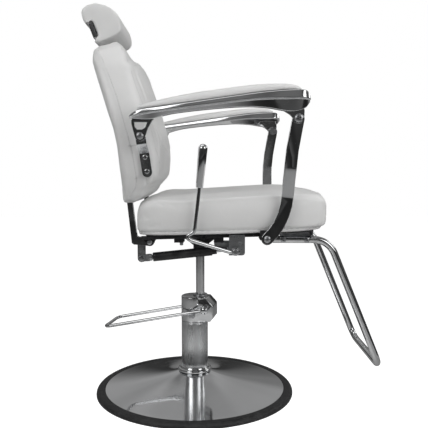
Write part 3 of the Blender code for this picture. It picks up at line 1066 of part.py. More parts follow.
def build_headrest(chrome, leather):
    """Headrest cushion, its bracket with the post, and the sleeve on the back."""
    centre = Vector(HEAD_MIDDLE)
    sections = []
    for y, inset in ((-HEAD_HALF, 1.0), (-HEAD_HALF + 0.0025, 0.45), (-HEAD_HALF + 0.009, 0.0), (0.0, -0.08),
                     (HEAD_HALF - 0.009, 0.0), (HEAD_HALF - 0.0025, 0.45), (HEAD_HALF, 1.0)):
        ring = []
        for x, z in HEAD_OUTLINE:
            out = Vector((x, z)) - centre
            point = centre + out * (1 - inset * HEAD_EDGE / HEAD_REACH)
            ring.append((point.x, y, point.y))
        sections.append(ring)
    origin, slide = post_line()
    cushion = add_object("headrest_cushion", loft(sections), leather, origin)

    low, high = Vector((HEAD_BAR_LOW[0], 0.0, HEAD_BAR_LOW[1])), Vector((HEAD_BAR_HIGH[0], 0.0, HEAD_BAR_HIGH[1]))
    up = (high - low).normalized()
    ahead = Vector((up.z, 0.0, -up.x))
    bar = headrest_bar(low, high, ahead, 0.0)
    bracket = add_object("headrest_bracket", bar, chrome, origin)
    cut(cushion, headrest_bar(low - up * 0.0005, high + up * 0.0005, ahead, 0.0005))
    join(bracket, post_bar(POST_LOW_Z, POST_TOP_Z, 0.0))
    cut(cushion, post_bar(BACK_TOP_Z, POST_TOP_Z + SLEEVE_FIT, SLEEVE_FIT))

    sleeve_high = SLEEVE_LOW_Z + SLEEVE_TALL * slide.z
    sleeve = add_object("headrest_sleeve", post_bar(SLEEVE_LOW_Z, sleeve_high, SLEEVE_FIT + SLEEVE_WALL), chrome, origin)
    cut(sleeve, post_bar(SLEEVE_LOW_Z - POST_ROOM, sleeve_high + POST_ROOM, SLEEVE_FIT))


def headrest_bar(low, high, ahead, grow):
    """The bar across the back of the headrest."""
    thick = HEAD_BAR_THICK / 2 + grow
    corners = [low - ahead * thick, low + ahead * thick, high + ahead * thick, high - ahead * thick]
    return prism([(c.x, c.z) for c in corners], -HEAD_BAR_HALF - grow, HEAD_BAR_HALF + grow)


def build_footrest(chrome, zinc):
    """Bent footrest tube, the channel that holds it and four bolts."""
    start, corner, end = FOOT_START, FOOT_CORNER, FOOT_END
    path = []
    for sign, points in ((-1, (start, corner, end)), (1, (end, corner, start))):
        path += [Vector((x, sign * FOOT_HALF, z)) for x, z in points]
    path = bend_path(path, [FOOT_BEND, FOOT_TURN, FOOT_TURN, FOOT_BEND], 5)
    footrest = add_object("footrest_tube", tube(path, FOOT_R, 10), chrome, (start[0], 0.0, start[1]))

    low = FOOT_START[1] + FOOT_R + GAP
    first, last = CHANNEL_X

    def high(x):
        return seat_line(x) + RAIL_THICK

    roof = CHANNEL_WALL
    outline = [(first, low), (first + roof, low), (first + roof, high(first) - roof), (last - roof, high(last) - roof), (last - roof, low)]
    outline += [(last, low), (last, high(last)), (first, high(first))]
    channel = add_object("footrest_channel", prism(outline, -CHANNEL_HALF, CHANNEL_HALF), zinc, (first, 0.0, low))
    cheek_out = FOOT_HALF - FOOT_R - 0.0010
    cheek_in = cheek_out - 0.004
    for sign in (-1, 1):
        y_low, y_high = sorted((sign * cheek_in, sign * cheek_out))
        join(channel, box((first + 0.0015, y_low, FOOT_START[1] - CHEEK_DROP), (last - 0.0015, y_high, high(first) - 0.0020)))
    hole_r = FOOT_BOLT_R + HOLE_FIT
    line = (FOOT_CORNER[1] - FOOT_START[1]) / (FOOT_CORNER[0] - FOOT_START[0])
    number = 0
    for sign in (-1, 1):
        for x in FOOT_BOLTS_X:
            number += 1
            z = FOOT_START[1] + (x - FOOT_START[0]) * line
            hole = ((x, sign * (cheek_in - 0.02), z), (x, sign * (FOOT_HALF + 0.03), z))
            cut(footrest, rod_between(*hole, hole_r, 8))
            cut(channel, rod_between(*hole, hole_r, 8))
            head, nut = FOOT_HALF + FOOT_R + GAP, cheek_in - GAP
            profile = [(0.0, nut - 0.0045), (FOOT_BOLT_HEAD_R, nut - 0.0045), (FOOT_BOLT_HEAD_R, nut), (FOOT_BOLT_R, nut), (FOOT_BOLT_R, head)]
            profile += [(FOOT_BOLT_HEAD_R, head), (FOOT_BOLT_HEAD_R, head + 0.0045), (0.0, head + 0.0045)]
            turn = Matrix.Translation((x, 0.0, z)) @ Matrix.Rotation(math.radians(-90.0 * sign), 4, "X")
            add_object(f"footrest_bolt_{number}", revolve(profile, 8, turn), zinc, (x, sign * head, z))


def build():
    """Builds the whole chair."""
    clear_scene()
    chrome = make_material("chrome", (0.78, 0.79, 0.80), 0.08, 1.0)
    satin = make_material("satin_steel", (0.62, 0.63, 0.64), 0.32, 1.0)
    zinc = make_material("zinc_steel", (0.55, 0.56, 0.57), 0.35, 1.0)
    black = make_material("black_steel", (0.018, 0.018, 0.020), 0.40, 0.0)
    rubber = make_material("black_rubber", (0.020, 0.020, 0.021), 0.75, 0.0)
    leather = make_material("white_leatherette", (0.74, 0.74, 0.73), 0.48, 0.0)
    wood = make_material("black_board", (0.030, 0.030, 0.031), 0.70, 0.0)
    build_base(black, chrome, rubber)
    build_pump(satin, chrome, zinc, black)
    build_mount(black, zinc)
    build_seat(black, wood, leather)
    build_hinge(black, chrome, zinc)
    build_gas_spring(black, zinc, chrome)
    build_lever(chrome, zinc)
    build_arms(black, chrome, zinc, leather)
    build_back(leather)
    build_headrest(chrome, leather)
    build_footrest(chrome, zinc)


build()
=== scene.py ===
# %% [markdown]
# # A barber chair, dressed for its portrait
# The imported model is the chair's frame: every solid sits where the real piece sits, and its joints move it.
# This lesson dresses that frame. Round pieces are spun again with more steps, bent bars are drawn again
# along their bends, flat pieces get softened edges, and the cushions are swelled as filled leatherette.
# Each new piece rides on the body of the solid that it stands for, so the joints still move it.

# %% Load the frame and keep its box
import json
import math

import bmesh
import bpy
from mathutils import Matrix, Vector
from mathutils.bvhtree import BVHTree
from mathutils.kdtree import KDTree


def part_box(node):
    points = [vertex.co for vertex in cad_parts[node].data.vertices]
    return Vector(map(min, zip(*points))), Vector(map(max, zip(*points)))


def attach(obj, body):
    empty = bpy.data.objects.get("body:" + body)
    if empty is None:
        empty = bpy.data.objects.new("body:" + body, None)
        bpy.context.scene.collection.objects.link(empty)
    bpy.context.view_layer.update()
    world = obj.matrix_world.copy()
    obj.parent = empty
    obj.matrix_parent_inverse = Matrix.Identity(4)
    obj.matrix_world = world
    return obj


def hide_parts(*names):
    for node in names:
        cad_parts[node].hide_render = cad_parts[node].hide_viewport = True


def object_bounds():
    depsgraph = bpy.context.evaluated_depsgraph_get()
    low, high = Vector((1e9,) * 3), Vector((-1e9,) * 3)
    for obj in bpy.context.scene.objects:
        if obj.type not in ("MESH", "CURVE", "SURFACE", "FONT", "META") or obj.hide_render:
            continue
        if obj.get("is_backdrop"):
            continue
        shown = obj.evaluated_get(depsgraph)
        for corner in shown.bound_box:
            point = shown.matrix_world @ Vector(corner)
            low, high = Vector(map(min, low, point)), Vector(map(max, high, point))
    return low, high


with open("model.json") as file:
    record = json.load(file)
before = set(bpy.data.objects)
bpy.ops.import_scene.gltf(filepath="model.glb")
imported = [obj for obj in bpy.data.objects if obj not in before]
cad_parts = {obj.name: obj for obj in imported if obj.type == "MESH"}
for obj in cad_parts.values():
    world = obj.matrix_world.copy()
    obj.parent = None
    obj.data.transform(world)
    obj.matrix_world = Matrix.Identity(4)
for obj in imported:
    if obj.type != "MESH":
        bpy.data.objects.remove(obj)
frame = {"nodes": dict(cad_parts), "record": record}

for left_over in ("Cube", "Light", "Camera"):
    if left_over in bpy.data.objects:
        bpy.data.objects.remove(bpy.data.objects[left_over])
cad_low, cad_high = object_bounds()
scene = bpy.context.scene
body_with = {n: body for body, nodes in frame["record"]["behaviour"]["bodies"].items() for n in nodes}
slot_with = {part["node"]: part["material_slot"] for part in frame["record"]["subparts"]}


# %% Helpers for objects
def placed(name, data):
    """A new object of some data, linked to the scene."""
    made = bpy.data.objects.new(name, data)
    scene.collection.objects.link(made)
    return made


def as_mesh(name, bm):
    """A new mesh of a bmesh, which is then freed."""
    mesh = bpy.data.meshes.new(name)
    bm.to_mesh(mesh)
    bm.free()
    return mesh


# %% [markdown]
# ## The camera
# The picture was taken from the sitter's right, a little above the seat. A pinhole camera was fitted to the
# round base, the upright pump and the pairs of armrests, links and footrest legs, so its place and lens are
# numbers here. The lens follows from the focal length in pixels and the picture's 428 pixels.

# %% Camera
PICTURE_SIDE, FOCAL_PIXELS, SENSOR_WIDE = 428, 622.54, 36.0
CAMERA_PLACE, CAMERA_DIP, CAMERA_TURN = (0.0443, -1.8189, 0.6737), 0.0804, -0.0071
camera_lens = bpy.data.cameras.new("portrait_camera")
camera_lens.sensor_width = SENSOR_WIDE
camera_lens.lens = SENSOR_WIDE * FOCAL_PIXELS / PICTURE_SIDE
camera = placed("portrait_camera", camera_lens)
camera.location = CAMERA_PLACE
camera.rotation_euler = (math.pi / 2 - CAMERA_DIP, 0.0, CAMERA_TURN)
bpy.context.scene.camera = camera
print("lens in mm", round(camera_lens.lens, 2))

# %% [markdown]
# ## Shader nodes
# The floor, the room and every finish are small node trees. These helpers add a node, give its inputs
# values or join other nodes to them, and return the output that the next node needs.


# %% Helpers for shader nodes
def feed(tree, socket, value):
    """Sets an input to a value, or joins another node's output to it."""
    if isinstance(value, bpy.types.NodeSocket):
        tree.links.new(value, socket)
    else:
        socket.default_value = value


def wire(tree, node, **inputs):
    """Feeds a node's inputs by name, with spaces written as low lines."""
    for name, value in inputs.items():
        feed(tree, node.inputs[name.replace("_", " ")], value)
    return node


def put(tree, kind, **inputs):
    """Adds a node and feeds its inputs."""
    return wire(tree, tree.nodes.new(kind), **inputs)


def sums(tree, kind, first, second=0.0):
    """One step of arithmetic; each side is a number or an output."""
    made = tree.nodes.new("ShaderNodeMath")
    made.operation = kind
    for socket, value in zip(made.inputs, (first, second)):
        feed(tree, socket, value)
    return made.outputs["Value"]


def spread(tree, value, low, high, start=0.3, end=0.7):
    """Maps a value from start..end onto low..high."""
    ends = {"From_Min": start, "From_Max": end, "To_Min": low, "To_Max": high}
    return put(tree, "ShaderNodeMapRange", Value=value, **ends).outputs["Result"]


def mixed(tree, share, first, second, kind="MIX"):
    """A colour between two, each a colour or an output, chosen by a share."""
    made = tree.nodes.new("ShaderNodeMix")
    made.data_type, made.blend_type = "RGBA", kind
    return wire(tree, made, Factor=share, A=first, B=second).outputs["Result"]


def grey(shade):
    """A grey as a colour."""
    return (shade, shade, shade, 1.0)


def greys(tree, value, stops):
    """A grey chosen by a value between stops, each (value, grey)."""
    made = put(tree, "ShaderNodeValToRGB", Fac=value)
    marks = made.color_ramp.elements
    marks[0].position, marks[1].position = stops[0][0], stops[-1][0]
    for place, shade in stops[1:-1]:
        marks.new(place)
    for mark, (place, shade) in zip(marks, stops):
        mark.color = grey(shade)
    return made.outputs["Color"]


def speckle(tree, where, scale, detail=3.0, roughness=0.55):
    """A noise between 0 and 1 at that many waves to the metre."""
    made = put(tree, "ShaderNodeTexNoise", Vector=where, Scale=scale, Detail=detail, Roughness=roughness)
    return made.outputs["Fac"]


def new_finish(name, colour, roughness, metallic=0.0):
    """A material, with its shader's plain values set on the shader itself."""
    finish = bpy.data.materials.new(name)
    finish.use_nodes = True
    tree = finish.node_tree
    shader = tree.nodes["Principled BSDF"]
    wire(tree, shader, Base_Color=(*colour, 1.0), Roughness=roughness, Metallic=metallic)
    return finish, tree, shader


# %% [markdown]
# ## Floor, room and lights
# The background of the picture is white, but the chrome mirrors a grey room: dark behind the camera,
# lighter overhead. The world is therefore white to the eye and a grey gradient to every other ray. The
# floor glows white to the eye as well; to every other ray its colour is a painted pool of light, grey near
# the chair and near black far out. Large soft boxes give the leatherette its even light, and smaller cards
# leave bright panels in the chrome.

# %% Floor
FLOOR_HALF = 6.0
# The floor's grey is a painted pool of light: light grey near the chair, near black far out, seen in
# reflections and bounce.
LIGHT_POOL_MIDDLE = (0.0, 0.3, 0.0)
LIGHT_POOL_GREYS = ((0.055, 0.60), (0.10, 0.30), (0.28, 0.24), (0.50, 0.04))
sheet = bmesh.new()
bmesh.ops.create_grid(sheet, x_segments=1, y_segments=1, size=FLOOR_HALF)
floor = placed("studio_floor", as_mesh("studio_floor", sheet))
floor_paint, tree, shader = new_finish("pale_floor", (0.8, 0.8, 0.8), 0.8)
place = put(tree, "ShaderNodeTexCoord").outputs["Object"]
place = put(tree, "ShaderNodeMapping", Vector=place, Location=LIGHT_POOL_MIDDLE).outputs["Vector"]
reach = put(tree, "ShaderNodeVectorMath", Vector=place)
reach.operation = "LENGTH"
# Painted pool of light: the floor's grey is chosen by the distance from the middle.
painted_light_pool = greys(tree, sums(tree, "DIVIDE", reach.outputs["Value"], FLOOR_HALF), LIGHT_POOL_GREYS)
to_eye = put(tree, "ShaderNodeLightPath").outputs["Is Camera Ray"]
wire(tree, shader, Base_Color=painted_light_pool, Emission_Color=grey(1.0), Emission_Strength=to_eye)
floor.data.materials.append(floor_paint)
floor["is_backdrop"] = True
print("floor reaches", FLOOR_HALF, "m each way")

# %% Room
ROOM_GREYS = ((0.0, 0.030), (0.10, 0.045), (0.35, 0.09), (0.80, 0.11), (1.0, 0.16))
WALL_SHADES, WALL_FROM, WALL_TO = (0.0, 0.27), 0.02, 0.30
CLUTTER_SCALE, CLUTTER_SHADES, CLUTTER_ENDS = 2.6, (0.65, 1.40), (0.35, 0.65)
room = bpy.data.worlds.new("grey_room")
scene.world = room
room.use_nodes = True
tree = room.node_tree
tree.nodes.clear()
way = put(tree, "ShaderNodeTexCoord").outputs["Generated"]
split = put(tree, "ShaderNodeSeparateXYZ", Vector=way).outputs
far_wall = spread(tree, sums(tree, "MULTIPLY", split["Y"], split["Z"]), *WALL_SHADES, WALL_FROM, WALL_TO)
lighter = mixed(tree, 1.0, greys(tree, split["Z"], ROOM_GREYS), far_wall, "LIGHTEN")
clutter = speckle(tree, way, CLUTTER_SCALE, 2.0, 0.5)
uneven = spread(tree, clutter, *CLUTTER_SHADES, *CLUTTER_ENDS)
grey_room = put(tree, "ShaderNodeBackground", Color=lighter, Strength=uneven)
white_wall = put(tree, "ShaderNodeBackground", Color=grey(1.0))
either = put(tree, "ShaderNodeMixShader", Fac=put(tree, "ShaderNodeLightPath").outputs["Is Camera Ray"])
for socket, wall in zip(either.inputs[1:], (grey_room, white_wall)):
    tree.links.new(wall.outputs["Background"], socket)
put(tree, "ShaderNodeOutputWorld", Surface=either.outputs["Shader"])
scene.view_settings.view_transform = "Standard"
print("room nodes", len(tree.nodes))

# %% Soft boxes and cards
MIDDLE, CHEST = (0.0, 0.0, 0.6), (-0.1, 0.0, 0.75)


def area_light(name, place, aim, wide, tall, watts, mirrored=False):
    """A rectangle of light that shows either in mirrors or on matt surfaces."""
    light = bpy.data.lights.new(name, "AREA")
    light.shape = "RECTANGLE"
    light.size, light.size_y, light.energy = wide, tall, watts
    lamp = placed(name, light)
    lamp.location = place
    lamp.rotation_euler = (Vector(aim) - Vector(place)).to_track_quat("-Z", "Y").to_euler()
    lamp.visible_camera = False
    lamp.visible_glossy, lamp.visible_diffuse = mirrored, not mirrored


def card(name, place, aim, wide, tall, shine):
    """A light that only mirrors see, shine times as bright as white."""
    area_light(name, place, aim, wide, tall, shine * math.pi * wide * tall, True)


area_light("key_box", (-1.9, -2.2, 2.15), MIDDLE, 3.0, 2.6, 47.0)
area_light("fill_box", (2.1, -2.0, 1.7), MIDDLE, 2.4, 2.4, 55.0)
area_light("top_box", (1.5, 0.1, 2.55), CHEST, 2.0, 2.0, 19.0)
area_light("rear_box", (-2.3, 0.2, 1.5), CHEST, 1.6, 1.6, 12.0)
card("left_card", (-1.85, -2.15, 2.10), MIDDLE, 1.7, 1.7, 1.8)
card("right_card", (2.05, -1.95, 1.68), MIDDLE, 1.2, 1.6, 1.8)
card("roof_card", (-0.4, -0.33, 2.9), (-0.4, -0.32, 0.0), 2.0, 1.25, 1.6)
card("nose_card", (2.2, 0.8, 1.65), (0.25, -0.2, 0.8), 0.9, 0.9, 2.2)

# %% [markdown]
# ## Finishes
# A finish is a small node tree on Object coordinates, so its grain has a real size in metres. Each one
# changes colour and roughness a little over the surface and has a fine bump, because nothing real is a flat
# colour.


# %% Helpers for finishes
def stretched(tree, scale=(1.0, 1.0, 1.0)):
    """Object coordinates, stretched by three factors."""
    place = put(tree, "ShaderNodeTexCoord").outputs["Object"]
    return put(tree, "ShaderNodeMapping", Vector=place, Scale=scale).outputs["Vector"]


def two_colours(tree, value, first, second):
    """A colour between two, chosen by a value."""
    return mixed(tree, value, (*first, 1.0), (*second, 1.0))


def raise_by(tree, value, depth, strength=1.0, below=None):
    """A bump of that many metres, over another bump if there is one."""
    bump = put(tree, "ShaderNodeBump", Strength=strength, Distance=depth, Height=value)
    if below is not None:
        tree.links.new(below, bump.inputs["Normal"])
    return bump.outputs["Normal"]


def worn(name, colour, rough, metallic, patches, roughs, colours, grain, bump, ends=(0.0, 1.0)):
    """A finish whose patches change its roughness and its colour, with a fine grain."""
    finish, tree, shader = new_finish(name, colour, rough, metallic)
    where = stretched(tree)
    patch = speckle(tree, where, *patches)
    wire(tree, shader, Roughness=spread(tree, patch, *roughs),
         Base_Color=two_colours(tree, spread(tree, patch, 0.0, 1.0, *ends), *colours),
         Normal=raise_by(tree, speckle(tree, where, *grain), *bump))
    print("finish", name)
    return finish


# %% Chrome
chrome, tree, shader = new_finish("polished_chrome", (0.80, 0.81, 0.82), 0.05, 1.0)
where = stretched(tree)
cloud = two_colours(tree, speckle(tree, where, 9.0), (0.76, 0.77, 0.78), (0.84, 0.845, 0.85))
haze = spread(tree, speckle(tree, where, 22.0), 0.035, 0.095)
wave = raise_by(tree, speckle(tree, where, 35.0, 1.0), 0.00006)
scuff = speckle(tree, stretched(tree, (900.0, 900.0, 60.0)), 1.0, 2.0)
wire(tree, shader, Base_Color=cloud, Roughness=haze, Normal=raise_by(tree, scuff, 0.000012, 0.5, wave))
print("finish", chrome.name)

# %% Satin steel of the pump
satin, tree, shader = new_finish("satin_pump_steel", (0.62, 0.63, 0.64), 0.3, 1.0)
drawn = speckle(tree, stretched(tree, (60.0, 60.0, 6.0)), 1.0, 4.0)
lines = speckle(tree, stretched(tree, (700.0, 700.0, 30.0)), 1.0, 2.0)
cloud = two_colours(tree, drawn, (0.80, 0.81, 0.82), (0.92, 0.93, 0.94))
haze = spread(tree, drawn, 0.20, 0.36)
wire(tree, shader, Base_Color=cloud, Roughness=haze, Normal=raise_by(tree, lines, 0.00003, 0.6))
print("finish", satin.name)

# %% Zinc plate of bolts and brackets, polished plate of the straps and the recline tail
zinc = worn("zinc_plate", (0.55, 0.56, 0.57), 0.3, 1.0, patches=(320.0, 4.0), roughs=(0.26, 0.36),
            colours=((0.56, 0.57, 0.59), (0.64, 0.65, 0.66)), grain=(900.0, 2.0), bump=(0.00004, 0.5))
plate_steel = worn("softly_polished_plate", (0.72, 0.73, 0.74), 0.2, 1.0, patches=(60.0, 3.0),
                   roughs=(0.17, 0.27), colours=((0.66, 0.67, 0.68), (0.76, 0.77, 0.78)),
                   grain=(45.0, 1.0), bump=(0.00025, 0.5))

# %% Black paint of the frame under the seat, black rubber of the rim
black_paint = worn("black_frame_paint", (0.02, 0.02, 0.022), 0.35, 0.0, patches=(40.0, 5.0),
                   roughs=(0.26, 0.45), colours=((0.014, 0.014, 0.015), (0.035, 0.035, 0.036)),
                   grain=(650.0, 2.0), bump=(0.00008, 0.5), ends=(0.45, 0.75))
rubber = worn("moulded_rubber", (0.022, 0.022, 0.023), 0.6, 0.0, patches=(55.0, 5.0),
              roughs=(0.45, 0.68), colours=((0.012, 0.012, 0.0125), (0.032, 0.032, 0.033)),
              grain=(1400.0, 2.0), bump=(0.00012, 0.6), ends=(0.4, 0.8))

# %% Near-black seat board, a dark sheet painted as the shade under the seat
# The board is coloured near black as painted shade under the seat; a fine noise gives it a grain.
underside_shade_board, tree, shader = new_finish("seat_board_painted_shade", (0.03, 0.03, 0.031), 0.8)
board_grain = speckle(tree, stretched(tree, (900.0, 900.0, 900.0)), 1.0, 3.0)
board_shade_grain = two_colours(tree, board_grain, (0.020, 0.020, 0.021), (0.050, 0.050, 0.052))
wire(tree, shader, Base_Color=board_shade_grain, Normal=raise_by(tree, board_grain, 0.0002, 0.5))
print("finish", underside_shade_board.name)

# %% [markdown]
# ## White leatherette
# The covers are a soft leatherette: a fine pore grain of about a millimetre, a slow unevenness over the
# filling, and sewn seams. The seams are drawn from values that each cover stores on its points: how far a
# point lies from the nearest fold, how far from the nearest row of stitches and how far along that row. So
# the stitches keep one size on every cover. Along the folds and the rows the colour is darkened as painted
# shade; the stitches themselves take the thread's own darker grey.

# %% Seams of the leatherette
SEAM_FOLD, STITCH_HALF, STITCH_STEP = 0.0016, 0.0016, 0.0048
# Folds and rows of stitches darken towards the seam grey as painted shade in the creases; the stitches'
# dashes darken as the thread's own colour.
FOLD_PAINTED_SHADE, ROW_PAINTED_SHADE, THREAD_SHADE, SEAM_SHADE_AND_THREAD_GREY = 0.75, 0.30, 0.50, (0.40, 0.40, 0.395, 1.0)
DASH_FULL, DASH_END = 0.30, 0.38
leather, tree, shader = new_finish("soft_white_leatherette", (0.72, 0.72, 0.715), 0.45)


def stored(name):
    """A value that the covers store on their points."""
    made = tree.nodes.new("ShaderNodeAttribute")
    made.attribute_name = name
    return made.outputs["Fac"]


fold = spread(tree, stored("fold_off"), 1.0, 0.0, 0.0, SEAM_FOLD)
row = spread(tree, stored("row_off"), 1.0, 0.0, STITCH_HALF * 0.5, STITCH_HALF * 1.5)
dash = sums(tree, "FRACT", sums(tree, "DIVIDE", stored("row_along"), STITCH_STEP))
dash = sums(tree, "ABSOLUTE", sums(tree, "SUBTRACT", dash, 0.5))
thread = sums(tree, "MULTIPLY", row, spread(tree, dash, 1.0, 0.0, DASH_FULL, DASH_END))
# marks: painted shade along the folds and the rows, with the thread's own darker colour on the stitches.
marks = sums(tree, "MULTIPLY", fold, FOLD_PAINTED_SHADE)
for seam, shade in ((row, ROW_PAINTED_SHADE), (thread, THREAD_SHADE)):
    marks = sums(tree, "MAXIMUM", marks, sums(tree, "MULTIPLY", seam, shade))
print("seam nodes", len(tree.nodes))

# %% Leatherette
where = stretched(tree)
pores = put(tree, "ShaderNodeTexVoronoi", Vector=where, Scale=720.0, Randomness=1.0).outputs["Distance"]
cloud = spread(tree, speckle(tree, where, 7.0, 4.0), 0.0, 1.0)
cloud = two_colours(tree, cloud, (0.69, 0.69, 0.685), (0.745, 0.745, 0.74))
soft = raise_by(tree, speckle(tree, where, 26.0, 3.0), 0.0016, 0.35)
grain = raise_by(tree, pores, 0.00012, 0.5, soft)
sewn = sums(tree, "SUBTRACT", sums(tree, "MULTIPLY", thread, 0.5), fold)
wire(tree, shader, Base_Color=mixed(tree, marks, cloud, SEAM_SHADE_AND_THREAD_GREY),
     Roughness=spread(tree, pores, 0.52, 0.40, 0.0, 0.9), Normal=raise_by(tree, sewn, 0.0012, 0.8, grain),
     Sheen_Weight=0.05, Specular_IOR_Level=0.42)
print("finish", leather.name)

# %% [markdown]
# ## Softened copies of flat pieces
# Plates, brackets, links and castings have the right shape already, but a real edge is never razor sharp. A
# copy of the solid is merged, its flat faces are joined, and the edges that turn by more than a set angle
# get a small bevel that catches the light. Weighted normals keep the flats flat.

# %% Helpers for pieces
FINISH_OF = {
    "chrome": chrome, "satin_steel": satin, "zinc_steel": zinc, "black_steel": black_paint,
    "black_rubber": rubber, "white_leatherette": leather, "black_board": underside_shade_board,
}
RUBBED = ("arm_strap_L", "arm_strap_R", "recline_tail")
WELD, FINE_WELD, FLAT_TURN = 2e-5, 1e-6, math.radians(0.7)


def add_piece(name, bm, node, finish=None, turn_angle=38.0):
    """Makes a piece of a bmesh that stands for a node and rides on its body."""
    bmesh.ops.recalc_face_normals(bm, faces=bm.faces)
    mesh = as_mesh(name, bm)
    mesh.materials.append(finish or FINISH_OF[slot_with[node]])
    mesh.polygons.foreach_set("use_smooth", [True] * len(mesh.polygons))
    mesh.set_sharp_from_angle(angle=math.radians(turn_angle))
    piece = placed(name, mesh)
    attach(piece, body_with[node])
    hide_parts(node)
    return piece


def added(bm, other):
    """Puts a second bmesh into a first one."""
    mesh = as_mesh("added", other)
    bm.from_mesh(mesh)
    bpy.data.meshes.remove(mesh)
    return bm


def merged(node):
    """A bmesh of a solid, with its loose triangles merged and its flat faces joined."""
    bm = bmesh.new()
    bm.from_mesh(frame["nodes"][node].data)
    bmesh.ops.remove_doubles(bm, verts=bm.verts, dist=WELD)
    bmesh.ops.dissolve_limit(bm, angle_limit=FLAT_TURN, verts=bm.verts, edges=bm.edges)
    return bm


def bevelled(bm, edges, width, segments=2):
    """Rounds some edges of a bmesh."""
    bmesh.ops.bevel(bm, geom=edges, offset=width, offset_type="OFFSET", segments=segments, profile=0.5,
                    affect="EDGES", clamp_overlap=True, material=-1)
    return bm


def round_edges(bm, width, turn_angle=40.0):
    """Rounds the edges of a bmesh that turn by more than an angle."""
    limit = math.radians(turn_angle)
    sharp = [e for e in bm.edges if len(e.link_faces) == 2 and e.calc_face_angle(0.0) > limit]
    return bevelled(bm, sharp, width)


def close_holes(bm):
    """Fills every hole of a bmesh with a face."""
    bmesh.ops.holes_fill(bm, edges=[e for e in bm.edges if e.is_boundary], sides=0)
    return bm


def keep_flats(piece):
    """Weighted normals, so that flat faces look flat beside rounded edges."""
    piece.modifiers.new("flat_faces", "WEIGHTED_NORMAL").keep_sharp = True
    return piece


def softened(node, width, turn_angle=40.0):
    """A copy of a solid with its sharp edges rounded by that width."""
    finish = plate_steel if node in RUBBED else None
    bm = round_edges(merged(node), width, turn_angle)
    return keep_flats(add_piece(node + "_finished", bm, node, finish, turn_angle))


# %% Soften the flat pieces
EDGE_OF = {
    "mount_plate": 0.0008, "seat_frame": 0.0010, "recline_tail": 0.0010, "gas_bracket": 0.0006,
    "lever_bracket": 0.0006, "footrest_channel": 0.0010, "headrest_bracket": 0.0010,
    "headrest_sleeve": 0.0005, "gas_rod": 0.0003, "lever_shaft": 0.0004, "pump_plunger": 0.0006,
}
for side in ("L", "R"):
    EDGE_OF.update({f"hinge_lug_{side}": 0.0008, f"back_bracket_{side}": 0.0020, f"link_ear_{side}": 0.0008,
                    f"front_link_{side}": 0.0013, f"arm_strap_{side}": 0.0011})
for number in range(1, 5):
    EDGE_OF[f"mount_bolt_{number}"] = 0.0006
for node, width in EDGE_OF.items():
    softened(node, width)
print("softened", len(EDGE_OF))

# %% [markdown]
# ## Gas spring
# The spring's tube is painted black, but the fork screwed on its rear end is bare plated steel. One solid
# stands for both, so its copy is cut across the neck and each half gets its own finish.

# %% Cut the fork from the tube
GAS_REAR, GAS_FRONT = Vector((-0.1345, -0.1917, 0.4260)), Vector((0.1100, -0.1917, 0.4508))
GAS_NECK, TUBE_EDGE, FORK_EDGE = 0.0290, 0.0005, 0.0006
spring_way = (GAS_FRONT - GAS_REAR).normalized()
neck = GAS_REAR + spring_way * GAS_NECK


def half_of(node, middle, way):
    """The closed half of a solid that lies ahead of a plane."""
    bm = merged(node)
    bmesh.ops.bisect_plane(bm, geom=bm.verts[:] + bm.edges[:] + bm.faces[:], dist=FINE_WELD, plane_co=middle,
                           plane_no=way, clear_inner=True)
    return close_holes(bm)


tube = round_edges(half_of("gas_cylinder", neck, spring_way), TUBE_EDGE)
keep_flats(add_piece("gas_tube_black", tube, "gas_cylinder"))
prongs = round_edges(half_of("gas_cylinder", neck, -spring_way), FORK_EDGE)
fork = keep_flats(add_piece("gas_fork", prongs, "gas_cylinder", zinc))
print("fork points", len(fork.data.vertices))

# %% [markdown]
# ## Turned pieces
# The base, the pump and the rod are turned on a lathe or pressed, so each one is a profile spun about its
# axis. The solid under it has few steps to keep the physics light; the dressed piece has many, because
# chrome shows every flat in its reflections. Each profile is a list of (radius, height) points in metres.

# %% Helpers for turned pieces
WIDE_STEPS, PUMP_STEPS, ROD_STEPS, SMALL_STEPS = 144, 96, 64, 48
EASE_ROOM = 0.45


def turned(profile, steps, place=None):
    """A bmesh of a closed profile of (radius, height) points spun about Z, then moved by a matrix."""
    bm = bmesh.new()
    points = [bm.verts.new((r, 0.0, z)) for r, z in profile]
    edges = [bm.edges.new(pair) for pair in zip(points, points[1:] + points[:1])]
    bmesh.ops.spin(bm, geom=points + edges, cent=(0.0, 0.0, 0.0), axis=(0.0, 0.0, 1.0), angle=2 * math.pi,
                   steps=steps, use_merge=True, use_duplicate=False)
    bmesh.ops.remove_doubles(bm, verts=bm.verts, dist=FINE_WELD)
    bmesh.ops.dissolve_degenerate(bm, edges=bm.edges, dist=FINE_WELD)
    bmesh.ops.delete(bm, geom=[e for e in bm.edges if not e.link_faces], context="EDGES")
    if place is not None:
        bmesh.ops.transform(bm, matrix=place, verts=bm.verts)
    return bm


def eased(profile, radius, steps=4, least=12.0):
    """Rounds the corners of a profile that turn by at least an angle, where there is room."""
    made = []
    count = len(profile)
    for i in range(count):
        here = Vector(profile[i])
        back, ahead = Vector(profile[i - 1]) - here, Vector(profile[(i + 1) % count]) - here
        reach = min(radius, back.length * EASE_ROOM, ahead.length * EASE_ROOM)
        turn = math.pi - back.angle(ahead) if back.length > 1e-7 and ahead.length > 1e-7 else 0.0
        if here.x < 1e-6 or turn < math.radians(least):
            made.append(tuple(here))
            continue
        first, last = here + back.normalized() * reach, here + ahead.normalized() * reach
        for k in range(steps + 1):
            t = k / steps
            made.append(tuple(first * (1 - t) ** 2 + here * 2 * t * (1 - t) + last * t * t))
    return made


def lying(x, z, sign=1, y=0.0):
    """Lays a piece made along Z along Y, or against it if the sign is -1, and moves it to (x, y, z)."""
    return Matrix.Translation((x, y, z)) @ Matrix.Rotation(math.radians(-90.0 * sign), 4, "X")


